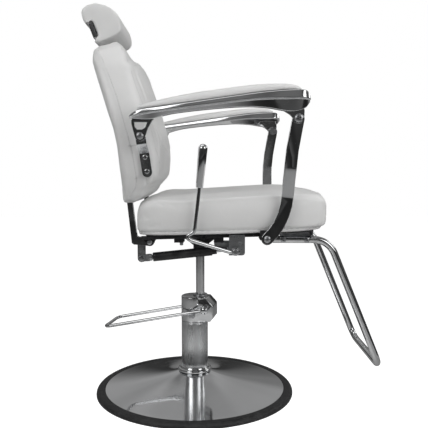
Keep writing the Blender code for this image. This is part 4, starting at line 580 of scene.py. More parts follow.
# %% Turn the base
DOME_EDGE, DOME_WALL, WALL_LEAN, DOME_HOLE, DOME_POINTS = 0.0145, 0.0016, 0.3, 0.042, 48
DOME_CONE, DOME_FLARE, FLARE_SHARE = 1.05, 5.0, 0.2
RIM_GAP, RIM_EASE = 0.0003, 0.0025
low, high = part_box("base_cover")
dome_r, dome_low, dome_top = high.x, low.z, high.z
crown = []
for t in (i / DOME_POINTS for i in range(DOME_POINTS + 1)):
    rise = (1.0 - FLARE_SHARE) * t ** DOME_CONE + FLARE_SHARE * t ** DOME_FLARE
    crown.append((dome_r + (DOME_HOLE - dome_r) * t, DOME_EDGE + (dome_top - DOME_EDGE) * rise))
profile = [(dome_r, dome_low)] + crown
profile += [(r - DOME_WALL * WALL_LEAN, z - DOME_WALL) for r, z in reversed(crown[1:])]
profile += [(dome_r - DOME_WALL, dome_low)]
add_piece("base_dome", turned(profile, WIDE_STEPS), "base_cover")

low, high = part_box("base_rim_trim")
rim_in, rim_out, rim_top = dome_r + RIM_GAP, high.x, high.z
profile = [(rim_in, 0.0), (rim_out - 0.002, 0.0), (rim_out, 0.002), (rim_out, rim_top * 0.45)]
profile += [(rim_out - 0.0025, rim_top * 0.75), (rim_out - 0.009, rim_top * 0.96)]
profile += [(rim_in + 0.003, rim_top), (rim_in, rim_top - 0.001)]
add_piece("base_rubber_ring", turned(eased(profile, RIM_EASE), WIDE_STEPS), "base_rim_trim")
print("dome is", round(2 * dome_r * 1000), "mm across")

# %% Turn the pump
COLLAR_BORE, COLLAR_EASE, PUMP_BORE, PUMP_EASE = 0.0393, 0.002, 0.018, 0.0007
GROOVE_R, GROOVE_LOW, GROOVE_TOP, LINE_DEEP = 0.0365, 0.0775, 0.0885, 0.0009
low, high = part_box("pump_collar")
out, foot, top = high.x, low.z, high.z
profile = [(COLLAR_BORE, foot), (out - 0.001, foot), (out, foot + 0.0015), (out, foot + 0.0055)]
profile += [(out - 0.002, foot + 0.008), (COLLAR_BORE + 0.0045, foot + 0.010)]
profile += [(COLLAR_BORE + 0.003, top - 0.0015), (COLLAR_BORE, top)]
add_piece("pump_foot_ring", turned(eased(profile, COLLAR_EASE), PUMP_STEPS), "pump_collar")

low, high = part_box("pump_cylinder")
wall, foot, top = high.x, low.z, high.z
profile = [(PUMP_BORE, foot), (wall, foot), (wall, GROOVE_LOW), (GROOVE_R, GROOVE_LOW)]
profile += [(GROOVE_R, GROOVE_TOP), (wall, GROOVE_TOP), (wall, top - 0.006)]
profile += [(wall - LINE_DEEP, top - 0.0055), (wall - LINE_DEEP, top - 0.0035), (wall, top - 0.003)]
profile += [(wall, top), (PUMP_BORE, top)]
add_piece("pump_tube", turned(eased(profile, PUMP_EASE, 2), PUMP_STEPS), "pump_cylinder")
print("pump is", round(2 * wall * 1000), "mm across")

# %% Turn the rod and its seal
ROD_R, ROD_FOOT_R, ROD_FOOT, ROD_EDGE = 0.0125, 0.0165, 0.02, 0.001
SEAL_R, SEAL_EDGE, SEAL_EASE = 0.0128, 0.0008, 0.0006
low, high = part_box("piston_rod")
rod_low, rod_top = low.z, high.z
rod_place = Matrix.Translation(((low.x + high.x) / 2, 0.0, 0.0))
profile = [(0.0, rod_low), (ROD_FOOT_R, rod_low), (ROD_FOOT_R, rod_low + ROD_FOOT)]
profile += [(ROD_R, rod_low + ROD_FOOT + ROD_EDGE), (ROD_R, rod_top - ROD_EDGE), (ROD_R - ROD_EDGE, rod_top)]
profile += [(0.0, rod_top)]
add_piece("lift_rod", turned(profile, ROD_STEPS, rod_place), "piston_rod")

low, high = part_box("rod_gland")
foot, top, out = low.z, high.z, (high.x - low.x) / 2
profile = [(SEAL_R, foot), (out, foot), (out, foot + 0.0035), (out - 0.0015, top)]
profile += [(SEAL_R + SEAL_EDGE, top), (SEAL_R, top - 0.001)]
add_piece("rod_seal_ring", turned(eased(profile, SEAL_EASE, 2), ROD_STEPS, rod_place), "rod_gland")
print("rod is", round((rod_top - rod_low) * 1000), "mm long")

# %% [markdown]
# ## The pump's head
# The head is a chromed casting, turned a little about the upright axis: a round body, a block with a sloped
# corner that holds the valve, a boss across it for the pedal's shaft and a short stud with a plug. Each
# part starts as a simple shape, and bevels soften the block.

# %% Cast the pump's head
PUMP_TURN = Matrix.Rotation(math.radians(-11.0), 4, "Z")
SHAFT_X, SHAFT_Z = 0.041, 0.2556
HEAD_R, HEAD_EDGE, HEAD_EASE, PLUG_EDGE = 0.0392, 0.002, 0.0012, 0.0005
BLOCK_HALF, BLOCK_EDGE = 0.035, 0.0016
BLOCK = [(0.010, 0.2165), (0.0535, 0.2165), (0.0615, 0.2265), (0.0615, 0.2615), (0.0415, 0.2835),
         (0.010, 0.2835)]
# The boss and the stud, which lie along Y: place, radius, length and number of sides.
PEGS = ((lying(SHAFT_X, SHAFT_Z, -1), 0.0125, 0.1097, 48),
        (lying(0.0, 0.2350, -1, -0.0352), 0.0105, 0.0105, 40))


def drawn_out(bm, faces, way):
    """Draws faces of a bmesh out into a solid."""
    grown = bmesh.ops.extrude_face_region(bm, geom=faces)["geom"]
    bmesh.ops.translate(bm, vec=way, verts=[v for v in grown if isinstance(v, bmesh.types.BMVert)])


low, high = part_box("pump_head")
profile = [(0.0, low.z), (HEAD_R, low.z), (HEAD_R, high.z - HEAD_EDGE), (HEAD_R - HEAD_EDGE, high.z)]
profile += [(0.0, high.z)]
casting = turned(eased(profile, HEAD_EASE, 3), PUMP_STEPS)
block = bmesh.new()
face = block.faces.new([block.verts.new((x, -BLOCK_HALF, z)) for x, z in BLOCK])
drawn_out(block, [face], (0.0, 2 * BLOCK_HALF, 0.0))
added(casting, bevelled(block, block.edges[:], BLOCK_EDGE, 3))
for peg, radius, long, sides in PEGS:
    bmesh.ops.create_cone(casting, cap_ends=True, segments=sides, radius1=radius, radius2=radius, depth=long,
                          matrix=peg)
bmesh.ops.transform(casting, matrix=PUMP_TURN, verts=casting.verts)
add_piece("pump_casting", casting, "pump_head")
softened("pump_plug", PLUG_EDGE)
print("pump head", [round(v, 3) for v in high - low])

# %% [markdown]
# ## Armrest frames
# Each armrest is a chromed casting: a rim under the pad whose outer face leans back, a bead below it, a
# thinner web and two flat lugs for the pivots. The rim and the web are skinned over many rings, because a
# mirror finish shows each facet; the lugs are flat plates with softened edges, and the rear one has a
# window.

# %% Lines of the armrest frames
ARM_Y, WEB_Y, ARM_HALF, ARM_SLANT, WEB_HALF = 0.328, 0.322, 0.034, 0.005, 0.0135
ARM_REAR, ARM_FRONT, ARM_RINGS = -0.1460, 0.2822, 73
NOSE_LONG, TAIL_LONG, NOSE_SHARE = 0.026, 0.024, 0.36
BEAD_TALL, BEAD_SHARE, WEB_SHARE, WEB_TAPER, ARM_EASE = 0.0022, 0.3, 0.85, 0.8, 0.0018
LUG_IN, LUG_OUT, LUG_EDGE, LUG_STEPS, LUG_TURN = 0.3088, 0.3168, 0.0010, 14, math.radians(0.5)
TOP_LINE = [(-0.146, 0.7855), (-0.137, 0.7925), (-0.117, 0.7999), (-0.071, 0.8066), (0.055, 0.8248),
            (0.156, 0.8387), (0.208, 0.8440), (0.2565, 0.8461), (0.2724, 0.8440), (0.2796, 0.8355),
            (0.2822, 0.8260)]
BEAD_LINE = [(-0.146, 0.7835), (-0.117, 0.7901), (-0.071, 0.7973), (0.055, 0.8134), (0.156, 0.8247),
             (0.2487, 0.8273), (0.2724, 0.8265), (0.2822, 0.8240)]
LOW_LINE = [(-0.146, 0.7815), (-0.117, 0.7790), (-0.0915, 0.7800), (-0.0726, 0.7858), (-0.037, 0.7933),
            (0.055, 0.8037), (0.132, 0.8084), (0.1835, 0.8058), (0.222, 0.7995), (0.250, 0.7985),
            (0.2724, 0.8065), (0.2822, 0.8190)]


def flowing(points, x):
    """Height at x of a smooth line through points, each (x, height)."""
    last = len(points) - 1
    i = max(k for k in range(last) if k == 0 or points[k][0] <= x)
    slopes = []
    for k in (i, i + 1):
        low, high = points[max(k - 1, 0)], points[min(k + 1, last)]
        slopes.append((high[1] - low[1]) / (high[0] - low[0]))
    span = points[i + 1][0] - points[i][0]
    t = min(max((x - points[i][0]) / span, 0.0), 1.0)
    rise = points[i][1] + (points[i + 1][1] - points[i][1]) * (3 * t * t - 2 * t ** 3)
    return rise + span * (slopes[0] * (t ** 3 - 2 * t * t + t) + slopes[1] * (t ** 3 - t * t))


def arc_points(centre, radius, start, end):
    """Points (x, z) on an arc, in degrees."""
    turns = [math.radians(start + (end - start) * k / LUG_STEPS) for k in range(LUG_STEPS + 1)]
    return [(centre[0] + radius * math.cos(a), centre[1] + radius * math.sin(a)) for a in turns]


FRONT_LUG = [(0.2680, 0.8180), (0.2150, 0.8180), (0.2080, 0.8070), (0.2230, 0.7990), (0.2360, 0.7915)]
FRONT_LUG += arc_points((0.2587, 0.7830), 0.0132, 185, 360) + [(0.2724, 0.8020)]
REAR_LUG = [(-0.0820, 0.7875), (-0.1390, 0.7862), (-0.1432, 0.7780), (-0.1428, 0.7687)]
REAR_LUG += arc_points((-0.1226, 0.7404), 0.0125, 190, 355) + [(-0.1030, 0.7593), (-0.0933, 0.7770)]
WINDOW = [(-0.1352, 0.7725), (-0.1342, 0.7616), (-0.1294, 0.7560), (-0.1174, 0.7560), (-0.1102, 0.7616),
          (-0.1060, 0.7725)]
print("lug points", len(FRONT_LUG), len(REAR_LUG))


# %% Cast the armrest frames
def plate(outline, y_low, y_high, hole=()):
    """A flat plate across Y with a hole, its edges softened."""
    bm = bmesh.new()
    for loop in (outline, hole):
        points = [bm.verts.new((x, y_low, z)) for x, z in loop]
        for pair in zip(points, points[1:] + points[:1]):
            bm.edges.new(pair)
    bmesh.ops.triangle_fill(bm, use_beauty=True, use_dissolve=False, edges=bm.edges[:])
    drawn_out(bm, bm.faces[:], (0.0, y_high - y_low, 0.0))
    bmesh.ops.recalc_face_normals(bm, faces=bm.faces)
    bmesh.ops.dissolve_limit(bm, angle_limit=LUG_TURN, verts=bm.verts, edges=bm.edges)
    return round_edges(bm, LUG_EDGE)


def arm_ring(x):
    """The casting's section at x, as (y, z) points on the positive side."""
    top, bead, low = (flowing(line, x) for line in (TOP_LINE, BEAD_LINE, LOW_LINE))
    nose = min((ARM_FRONT - x) / NOSE_LONG, (x - ARM_REAR) / TAIL_LONG, 1.0)
    share = NOSE_SHARE + (1.0 - NOSE_SHARE) * math.sqrt(max(0.0, 1.0 - (1.0 - nose) ** 2))
    half, slim = ARM_HALF * share, (ARM_HALF - ARM_SLANT) * share
    web = min(WEB_HALF, half * WEB_SHARE)
    foot = web * WEB_TAPER
    over = bead + min(BEAD_TALL, (top - bead) * BEAD_SHARE)
    ring = [(ARM_Y - slim, top), (ARM_Y + slim, top), (ARM_Y + half, over), (ARM_Y + half, bead)]
    ring += [(WEB_Y + web, bead), (WEB_Y + foot, low), (WEB_Y - foot, low), (WEB_Y - web, bead)]
    ring += [(ARM_Y - half, bead), (ARM_Y - half, over)]
    return eased(ring, ARM_EASE, 3, -1.0)


for side, sign in (("R", -1.0), ("L", 1.0)):
    bm = bmesh.new()
    rings = []
    for i in range(ARM_RINGS):
        x = ARM_REAR + (ARM_FRONT - ARM_REAR) * (0.5 - 0.5 * math.cos(math.pi * i / (ARM_RINGS - 1)))
        rings.append([bm.verts.new((x, sign * y, z)) for y, z in arm_ring(x)])
    for first, second in zip(rings, rings[1:]):
        for corners in zip(first, first[1:] + first[:1], second[1:] + second[:1], second):
            bm.faces.new(corners)
    bm.faces.new(rings[0])
    bm.faces.new(rings[-1])
    y_low, y_high = sorted((sign * LUG_IN, sign * LUG_OUT))
    added(bm, plate(FRONT_LUG, y_low, y_high))
    added(bm, plate(REAR_LUG, y_low, y_high, WINDOW))
    open_edges = len([e for e in bm.edges if len(e.link_faces) != 2])
    keep_flats(add_piece(f"arm_casting_{side}", bm, f"arm_frame_{side}"))
    print("armrest", side, "open edges", open_edges)

# %% [markdown]
# ## Bent bars
# The footrest, the pedal and the release lever are bent from bar. A ring of points is pushed along each
# straight run and spun round the centre of each bend, which is what a bending machine does to the real bar.

# %% Helpers for bent bars
BAR_SIDES, BEND_STEPS, BAR_TURN, RING_EASE = 28, 14, 50.0, 0.0009


def push(bm, edges, way):
    """Draws a ring of edges out along a straight run."""
    made = bmesh.ops.extrude_edge_only(bm, edges=edges)["geom"]
    points = {v for v in made if isinstance(v, bmesh.types.BMVert)}
    bmesh.ops.translate(bm, verts=list(points), vec=way)
    return [e for e in made if isinstance(e, bmesh.types.BMEdge) and set(e.verts) <= points]


def bent_bar(corners, radii, bar_r):
    """A bmesh of a round bar along corners, bent at each inner one with its radius."""
    corners = [Vector(c) for c in corners]
    bm = bmesh.new()
    heading = (corners[1] - corners[0]).normalized()
    start = Matrix.Translation(corners[0]) @ heading.to_track_quat("Z", "Y").to_matrix().to_4x4()
    ring = bmesh.ops.create_circle(bm, cap_ends=False, segments=BAR_SIDES, radius=bar_r, matrix=start)
    edges = list({e for v in ring["verts"] for e in v.link_edges})
    at = corners[0]
    for i, corner in enumerate(corners[1:-1]):
        back, ahead = (corners[i] - corner).normalized(), (corners[i + 2] - corner).normalized()
        half = back.angle(ahead) / 2
        reach = radii[i] / math.tan(half)
        edges = push(bm, edges, corner + back * reach - at)
        centre = corner + (back + ahead).normalized() * radii[i] / math.sin(half)
        points = list({v for e in edges for v in e.verts})
        made = bmesh.ops.spin(bm, geom=points + edges, cent=centre, axis=ahead.cross(back).normalized(),
                              angle=math.pi - 2 * half, steps=BEND_STEPS, use_merge=False,
                              use_duplicate=False)
        edges = [e for e in made["geom_last"] if isinstance(e, bmesh.types.BMEdge)]
        at = corner + ahead * reach
    push(bm, edges, corners[-1] - at)
    bmesh.ops.remove_doubles(bm, verts=bm.verts, dist=FINE_WELD)
    return close_holes(bm)


def add_ring(bm, inner, outer, low, high, place):
    """Adds a short turned ring to a bmesh."""
    profile = eased([(inner, low), (outer, low), (outer, high), (inner, high)], RING_EASE, 3)
    added(bm, turned(profile, SMALL_STEPS, place))


# %% Bend the footrest
FOOT_HALF, FOOT_R, FOOT_BENDS = 0.151, 0.0098, [0.062, 0.034, 0.034, 0.062]
FOOT_PATH = [(0.196, 0.4712), (0.3663, 0.4698), (0.5098, 0.1205)]
corners = [(x, -FOOT_HALF, z) for x, z in FOOT_PATH] + [(x, FOOT_HALF, z) for x, z in reversed(FOOT_PATH)]
bar = bent_bar(corners, FOOT_BENDS, FOOT_R)
footrest = add_piece("footrest_bar", bar, "footrest_tube", turn_angle=BAR_TURN)
print("footrest points", len(footrest.data.vertices))

# %% Bend the pedal
PEDAL_HALF, PEDAL_R, PEDAL_BENDS = 0.0604, 0.0048, [0.018, 0.018]
PEDAL_TIP, PEDAL_START = Vector((-0.2590, 0.0, 0.1942)), 0.0088
EYE_WIDE, EYE_IN, EYE_OUT = 0.0105, 0.0071, 0.0108
pivot = Vector((SHAFT_X, 0.0, SHAFT_Z))
first = pivot + (PEDAL_TIP - pivot).normalized() * PEDAL_START
near = Vector((0.0, -PEDAL_HALF, 0.0))
pedal = bent_bar([first + near, PEDAL_TIP + near, PEDAL_TIP - near, first - near], PEDAL_BENDS, PEDAL_R)
for middle in (-PEDAL_HALF, PEDAL_HALF):
    add_ring(pedal, EYE_IN, EYE_OUT, middle - EYE_WIDE / 2, middle + EYE_WIDE / 2, lying(SHAFT_X, SHAFT_Z))
bmesh.ops.transform(pedal, matrix=PUMP_TURN, verts=pedal.verts)
add_piece("pedal_bar", pedal, "pedal_loop", turn_angle=BAR_TURN)

# %% Turn the pedal's shaft
CAP_R, CAP_TOP_R, CAP_TALL, CAP_WALL, CAP_DOME = 0.0098, 0.0054, 0.0062, 0.0028, 0.0006
CROSS_R, CAP_GAP, CAP_EASE = 0.0068, 0.0003, 0.0022
cap_in = PEDAL_HALF + EYE_WIDE / 2 + CAP_GAP
cap_out = cap_in + CAP_TALL
cap = [(CROSS_R, cap_in), (CAP_R, cap_in), (CAP_R, cap_in + CAP_WALL), (CAP_TOP_R, cap_out - CAP_DOME)]
cap += [(0.0, cap_out)]
profile = [(r, -z) for r, z in reversed(cap)] + cap
shaft = turned(eased(profile, CAP_EASE), SMALL_STEPS, PUMP_TURN @ lying(SHAFT_X, SHAFT_Z))
add_piece("pedal_cross_shaft", shaft, "pedal_shaft")
print("shaft is", round(2 * cap_out * 1000), "mm long")

# %% Bend the release lever and turn its grip
LEVER_Y, LEVER_R, LEVER_BENDS = -0.278, 0.005, [0.050, 0.020, 0.0070, 0.010]
GRIP_LOW, GRIP_TOP = Vector((0.0191, LEVER_Y, 0.6146)), Vector((0.0289, LEVER_Y, 0.7227))
GRIP_R, GRIP_BORE, GRIP_DEEP, GRIP_STEPS, GRIP_SIDES = 0.0116, 0.0053, 0.060, 8, 56
BAR_INSIDE, BAR_BELOW = 0.056, 0.006
LEVER_PIVOT, LEVER_EYE, LEVER_GAP, EYE_ENDS = (0.1100, 0.4510), 0.0105, 0.0003, (-0.2525, -0.2425)
up = (GRIP_TOP - GRIP_LOW).normalized()
corners = [GRIP_LOW + up * BAR_INSIDE, GRIP_LOW - up * BAR_BELOW, (0.0066, LEVER_Y, 0.5040)]
corners += [(-0.0150, LEVER_Y, 0.4935), (-0.0050, LEVER_Y, 0.4845), (0.1015, -0.2475, 0.4480)]
lever = bent_bar(corners, LEVER_BENDS, LEVER_R)
add_ring(lever, LEVER_R + LEVER_GAP, LEVER_EYE, *EYE_ENDS, lying(*LEVER_PIVOT))
add_piece("release_bar", lever, "release_lever", turn_angle=BAR_TURN)
tall = (GRIP_TOP - GRIP_LOW).length
profile = [(GRIP_BORE, 0.0), (0.0080, 0.0), (0.0090, 0.001), (GRIP_R, tall - GRIP_R)]
for turn in (math.radians(90.0 * k / GRIP_STEPS) for k in range(1, GRIP_STEPS + 1)):
    profile.append((GRIP_R * math.cos(turn), tall - GRIP_R + GRIP_R * math.sin(turn)))
profile += [(0.0, GRIP_DEEP), (GRIP_BORE, GRIP_DEEP)]
stand = Matrix.Translation(GRIP_LOW) @ up.to_track_quat("Z", "Y").to_matrix().to_4x4()
add_piece("release_grip", turned(profile, GRIP_SIDES, stand), "lever_grip", turn_angle=BAR_TURN)
print("lever grip is", round(tall * 1000), "mm long")

# %% [markdown]
# ## Bolts and screws
# The pivots are held by domed bolts with a socket in the head. Each one is a profile turned about its own
# axis, and its length and place are read from the solid that it stands for.

# %% Turn the bolts
BOLT_STEPS, DOME_TURN, TURN_STEPS, HEAD_WALL = 40, 62.0, 6, 0.30
SOCKET_WIDE, SOCKET_FOOT, SOCKET_DEEP = 0.36, 0.30, 0.5
# Height of the head, radius of the shank and height of the nut, for each kind of bolt.
HINGE_BOLT = (0.0056, 0.005, 0.0066)
PIVOT_BOLT = (0.0056, 0.0045, 0.0056)
FOOT_BOLT = (0.0045, 0.0040, 0.0045)


def domed_bolt(node, sign, head_tall, shank_r, nut_tall):
    """A bolt across the chair with a domed head outside and a nut within."""
    low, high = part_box(node)
    inner, outer = sorted((abs(low.y), abs(high.y)))
    wide = (high.x - low.x) / 2
    under, nut, socket = outer - head_tall, inner + nut_tall, outer - head_tall * SOCKET_DEEP
    profile = [(0.0, inner), (wide, inner), (wide, nut), (shank_r, nut), (shank_r, under), (wide, under)]
    profile += [(wide, under + head_tall * HEAD_WALL)]
    for turn in (math.radians(DOME_TURN * k / TURN_STEPS) for k in range(1, TURN_STEPS + 1)):
        share = HEAD_WALL + (1.0 - HEAD_WALL) * math.sin(turn) / math.sin(math.radians(DOME_TURN))
        profile.append((wide * math.cos(turn), under + head_tall * share))
    profile += [(wide * SOCKET_WIDE, outer), (wide * SOCKET_FOOT, socket), (0.0, socket)]
    place = lying((low.x + high.x) / 2, (low.z + high.z) / 2, sign)
    return add_piece(node + "_turned", turned(profile, BOLT_STEPS, place), node)


for side, sign in (("R", -1), ("L", 1)):
    domed_bolt(f"recline_bolt_{side}", sign, *HINGE_BOLT)
    for place in ("link_bolt", "arm_front_bolt", "arm_rear_bolt"):
        domed_bolt(f"{place}_{side}", sign, *PIVOT_BOLT)
for number in range(1, 5):
    domed_bolt(f"footrest_bolt_{number}", -1 if number < 3 else 1, *FOOT_BOLT)

# %% [markdown]
# ## Filled covers
# A real cushion is a sewn cover pulled over foam. Here a copy of the solid, slightly smaller, is remeshed
# into even faces and swelled with a little air by a short cloth simulation. Points on the seams and on the
# stapled underside are pinned, so the panels rise between them; no point may move more than a set distance,
# so that the cushion keeps its size. After that the seams are pressed in and their distances are stored for
# the leatherette.

# %% Helpers for the shape of covers
FAR_OFF = 1.0
SQUARE_SHARE = 0.5


def squarer(gap, reach, share=SQUARE_SHARE):
    """A gap from a face, made smaller near the face, so that the corner there becomes crisper."""
    return gap * (1.0 - share * math.exp(-(gap / reach) ** 2))


def ramp(value):
    """A smooth step from 0 to 1."""
    share = min(1.0, max(0.0, value))
    return share * share * (3.0 - 2.0 * share)


def smoothed(bm, rounds):
    """Evens a bmesh out a little, a few times."""
    for _ in range(rounds):
        bmesh.ops.smooth_vert(bm, verts=bm.verts, factor=0.5, use_axis_x=True, use_axis_y=True,
                              use_axis_z=True)
    bm.normal_update()


def even_shell(bm, voxel, inset):
    """An object of a closed bmesh with even faces, made smaller by an inset."""
    bmesh.ops.recalc_face_normals(bm, faces=bm.faces)
    holder = placed("shell", as_mesh("shell", bm))
    even = holder.modifiers.new("even_faces", "REMESH")
    even.mode = "VOXEL"
    even.voxel_size = voxel
    made = bpy.data.meshes.new_from_object(holder.evaluated_get(bpy.context.evaluated_depsgraph_get()))
    bpy.data.objects.remove(holder)
    bm = bmesh.new()
    bm.from_mesh(made)
    smoothed(bm, 1)
    for point in bm.verts:
        point.co -= point.normal * inset
    bm.to_mesh(made)
    bm.free()
    return placed("cover", made)


def ray_tree(cover):
    """A search tree for rays that meet a cover."""
    return BVHTree.FromObject(cover, bpy.context.evaluated_depsgraph_get())


def cast_line(cover, starts):
    """Lays a line on a cover: each start is a place and the way to look, and the hits are joined."""
    tree = ray_tree(cover)
    hits = [tree.ray_cast(Vector(begin), Vector(way).normalized())[0] for begin, way in starts]
    return [h for h in hits if h is not None]


def seam_finder(lines, step=0.002):
    """A function that tells how far a place lies from the nearest line, and how far along that line."""
    points, runs = [], []
    for line in lines:
        run = 0.0
        for first, last in zip(line, line[1:]):
            long = (last - first).length
            count = max(1, int(long / step))
            points += [first.lerp(last, k / count) for k in range(count)]
            runs += [run + long * k / count for k in range(count)]
            run += long
    tree = KDTree(max(1, len(points)))
    for index, point in enumerate(points):
        tree.insert(point, index)
    tree.balance()

    def find(place):
        if not points:
            return FAR_OFF, 0.0
        hit, index, away = tree.find(place)
        return away, runs[index]

    return find


# %% Helpers for filling and sewing
PRESSURE, FRAMES, CLOTH_QUALITY = 4.0, 20, 4
COVER_TURN = 80.0


def swell(cover, pinned, limit):
    """Fills a cover with a little air by a cloth simulation; pinned points stay. Returns the mean rise."""
    rest = [(v.co.copy(), v.normal.copy()) for v in cover.data.vertices]
    cover.vertex_groups.new(name="pinned").add(pinned, 1.0, "REPLACE")
    cloth = cover.modifiers.new("air", "CLOTH")
    cloth.settings.vertex_group_mass = "pinned"
    cloth.settings.quality = CLOTH_QUALITY
    cloth.settings.use_pressure = True
    cloth.settings.uniform_pressure_force = PRESSURE
    cloth.settings.effector_weights.gravity = 0.0
    cloth.point_cache.frame_start, cloth.point_cache.frame_end = 1, FRAMES
    for number in range(1, FRAMES + 1):
        scene.frame_set(number)
    blown = cover.evaluated_get(bpy.context.evaluated_depsgraph_get()).data
    moves = [new.co - old for new, (old, normal) in zip(blown.vertices, rest)]
    cover.modifiers.remove(cloth)
    for point, (old, normal), move in zip(cover.data.vertices, rest, moves):
        if move.length > 1e-9:
            point.co = old + move * (limit * math.tanh(move.length / limit) / move.length)
    scene.frame_set(1)
    return sum((p.co - old).dot(normal) for p, (old, normal) in zip(cover.data.vertices, rest)) / len(rest)


def sew(cover, name, node, folds=(), rows=(), depth=0.0, width=0.004, rise=None):
    """Divides a cover, presses its folds in, stores the seams' distances and makes it a piece."""
    bm = bmesh.new()
    bm.from_mesh(cover.data)
    bpy.data.objects.remove(cover)
    bmesh.ops.subdivide_edges(bm, edges=bm.edges, cuts=1, use_grid_fill=True, smooth=0.0)
    smoothed(bm, 2)
    to_fold, to_row = seam_finder(folds), seam_finder(rows)
    layers = [bm.verts.layers.float.new(key) for key in ("fold_off", "row_off", "row_along")]
    moves = []
    for point in bm.verts:
        off = to_fold(point.co)[0]
        for layer, value in zip(layers, (off, *to_row(point.co))):
            point[layer] = value
        up = -depth * math.exp(-(off / width) ** 2)
        if rise is not None:
            up += rise(point.co)
        moves.append(point.normal * up)
    for point, move in zip(bm.verts, moves):
        point.co += move
    piece = add_piece(name, bm, node, turn_angle=COVER_TURN)
    low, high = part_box(node)
    own_low, own_high = ([f(v.co[k] for v in piece.data.vertices) for k in range(3)] for f in (min, max))
    grew = [low[k] - own_low[k] for k in range(3)] + [own_high[k] - high[k] for k in range(3)]
    print(name, "grew mm", [round(g * 1000, 1) for g in grew])
    return piece


# %% [markdown]
# ## Seat cushion
# The seat is a thick foam block on a board, with a flat side panel, a fairly crisp top edge and a crease
# all round near the foot, where the cover is drawn under the board and stapled. Its rear end rises a
# little.

# %% Shape the seat cushion
VOXEL, FINE_VOXEL, INSET = 0.0055, 0.004, 0.0005
SEAT_LIFT, LIFT_AHEAD, LIFT_RUN, LIFT_LOW, LIFT_TALL = 0.008, -0.02, 0.08, 0.535, 0.025
bm = merged("seat_cushion")
hull = bmesh.ops.convex_hull(bm, input=bm.verts, use_existing_faces=False)
outside = {f for f in hull["geom"] if isinstance(f, bmesh.types.BMFace)}
bmesh.ops.delete(bm, geom=[f for f in bm.faces if f not in outside], context="FACES_ONLY")
bmesh.ops.delete(bm, geom=[v for v in bm.verts if not v.link_faces], context="VERTS")
seat = even_shell(bm, VOXEL, INSET)
for point in seat.data.vertices:
    share = ramp((LIFT_AHEAD - point.co.x) / LIFT_RUN) * ramp((point.co.z - LIFT_LOW) / LIFT_TALL)
    point.co.z += SEAT_LIFT * share
print("seat points", len(seat.data.vertices))

# %% Fill the seat cushion
SEAT_MIDDLE, SEAT_REACH, SEAT_LEVEL = Vector((0.10, 0.0, 0.0)), 0.25, 0.55
CREASE_LEVEL, CREASE_SLOPE, CREASE_DEEP, CREASE_WIDE = 0.5031, 0.0255, 0.0030, 0.004
EDGE_RISE, EDGE_WIDE, EDGE_INSET, LOOK_OUT = 0.0022, 0.007, 0.03, 0.1
HEM_RISE, HEM_WIDE = 0.0050, 0.006
PIN_NEAR, PIN_UNDER, SEAT_LIMIT = 0.004, 0.003, 0.003
ways = [Vector((math.cos(a), math.sin(a), 0.0)) for a in (math.radians(2 * k) for k in range(181))]


def crease_height(x):
    """Height of the crease round the seat's foot."""
    return CREASE_LEVEL + CREASE_SLOPE * x


def corner_line(cover, ring, up):
    """The edge above (up 1) or below (up -1) a ring round the seat, found along slanted looks."""
    looks = []
    for foot, way in zip(ring, ways):
        inside = Vector((foot.x - way.x * EDGE_INSET, foot.y - way.y * EDGE_INSET, SEAT_LEVEL + up * 0.5))
        face = cast_line(cover, [(inside, (0.0, 0.0, -up))])[0]
        slant = way + Vector((0.0, 0.0, up))
        looks.append((Vector((foot.x, foot.y, face.z)) + slant * LOOK_OUT, -slant))
    return cast_line(cover, looks)


def seat_rise(co):
    """The boxed top edge stands up a little, and the hem is a roll along the foot."""
    top = EDGE_RISE * math.exp(-(to_edge(co)[0] / EDGE_WIDE) ** 2)
    return top + HEM_RISE * math.exp(-(to_hem(co)[0] / HEM_WIDE) ** 2)


starts = []
for way in ways:
    reach = SEAT_REACH / max(abs(way.x), abs(way.y))
    starts.append((SEAT_MIDDLE + way + Vector((0, 0, crease_height(SEAT_MIDDLE.x + way.x * reach))), -way))
crease = cast_line(seat, starts)
to_crease = seam_finder([crease])
to_edge, to_hem = (seam_finder([corner_line(seat, crease, up)]) for up in (1.0, -1.0))
pinned = [v.index for v in seat.data.vertices if v.co.z < crease_height(v.co.x) - PIN_UNDER
          or min(to_crease(v.co)[0], to_edge(v.co)[0]) < PIN_NEAR]
print("seat rose mm", round(swell(seat, pinned, SEAT_LIMIT) * 1000, 2))
sew(seat, "seat_cover", "seat_cushion", [crease], [], CREASE_DEEP, CREASE_WIDE, seat_rise)

# %% [markdown]
# ## Backrest
# The back has a shell that wraps round the sides and, in front, a thicker pad whose shoulder starts a
# little below the top. A fold runs round the pad, with a row of stitches behind it on the shell; a second
# row follows the rear wrap, and a short dart crosses the shell at the height of the armrests' straps.
# Before it is filled, the cover is measured at many heights and fitted: its corners become crisper, and its
# front and rear move to the outline that the photograph shows.

# %% Measure the backrest
FRONT_FOLD = [(-0.1567, 0.9354), (-0.1451, 0.9083), (-0.1314, 0.8720), (-0.1209, 0.8441), (-0.1156, 0.8265),
              (-0.0954, 0.7694), (-0.0855, 0.7448), (-0.0758, 0.7029), (-0.0726, 0.6634), (-0.0740, 0.6461),
              (-0.0795, 0.6285)]
FOLD_TABLE = [(z, x) for x, z in reversed(FRONT_FOLD)]
PAD_TOP, SHOULDER_DROP = 0.9480, 0.6
SECTION_LOW, SECTION_HIGH, SECTION_STEP, SIDE_LOOKS = 0.582, 0.986, 0.004, (0.3, 0.4, 0.5, 0.6, 0.7)


def between(table, z):
    """Value at a height of a table of (height, value) pairs that runs upwards."""
    for (z1, v1), (z2, v2) in zip(table, table[1:]):
        if z1 <= z <= z2:
            return v1 + (v2 - v1) * (z - z1) / (z2 - z1)
    return table[0][1] if z < table[0][0] else table[-1][1]


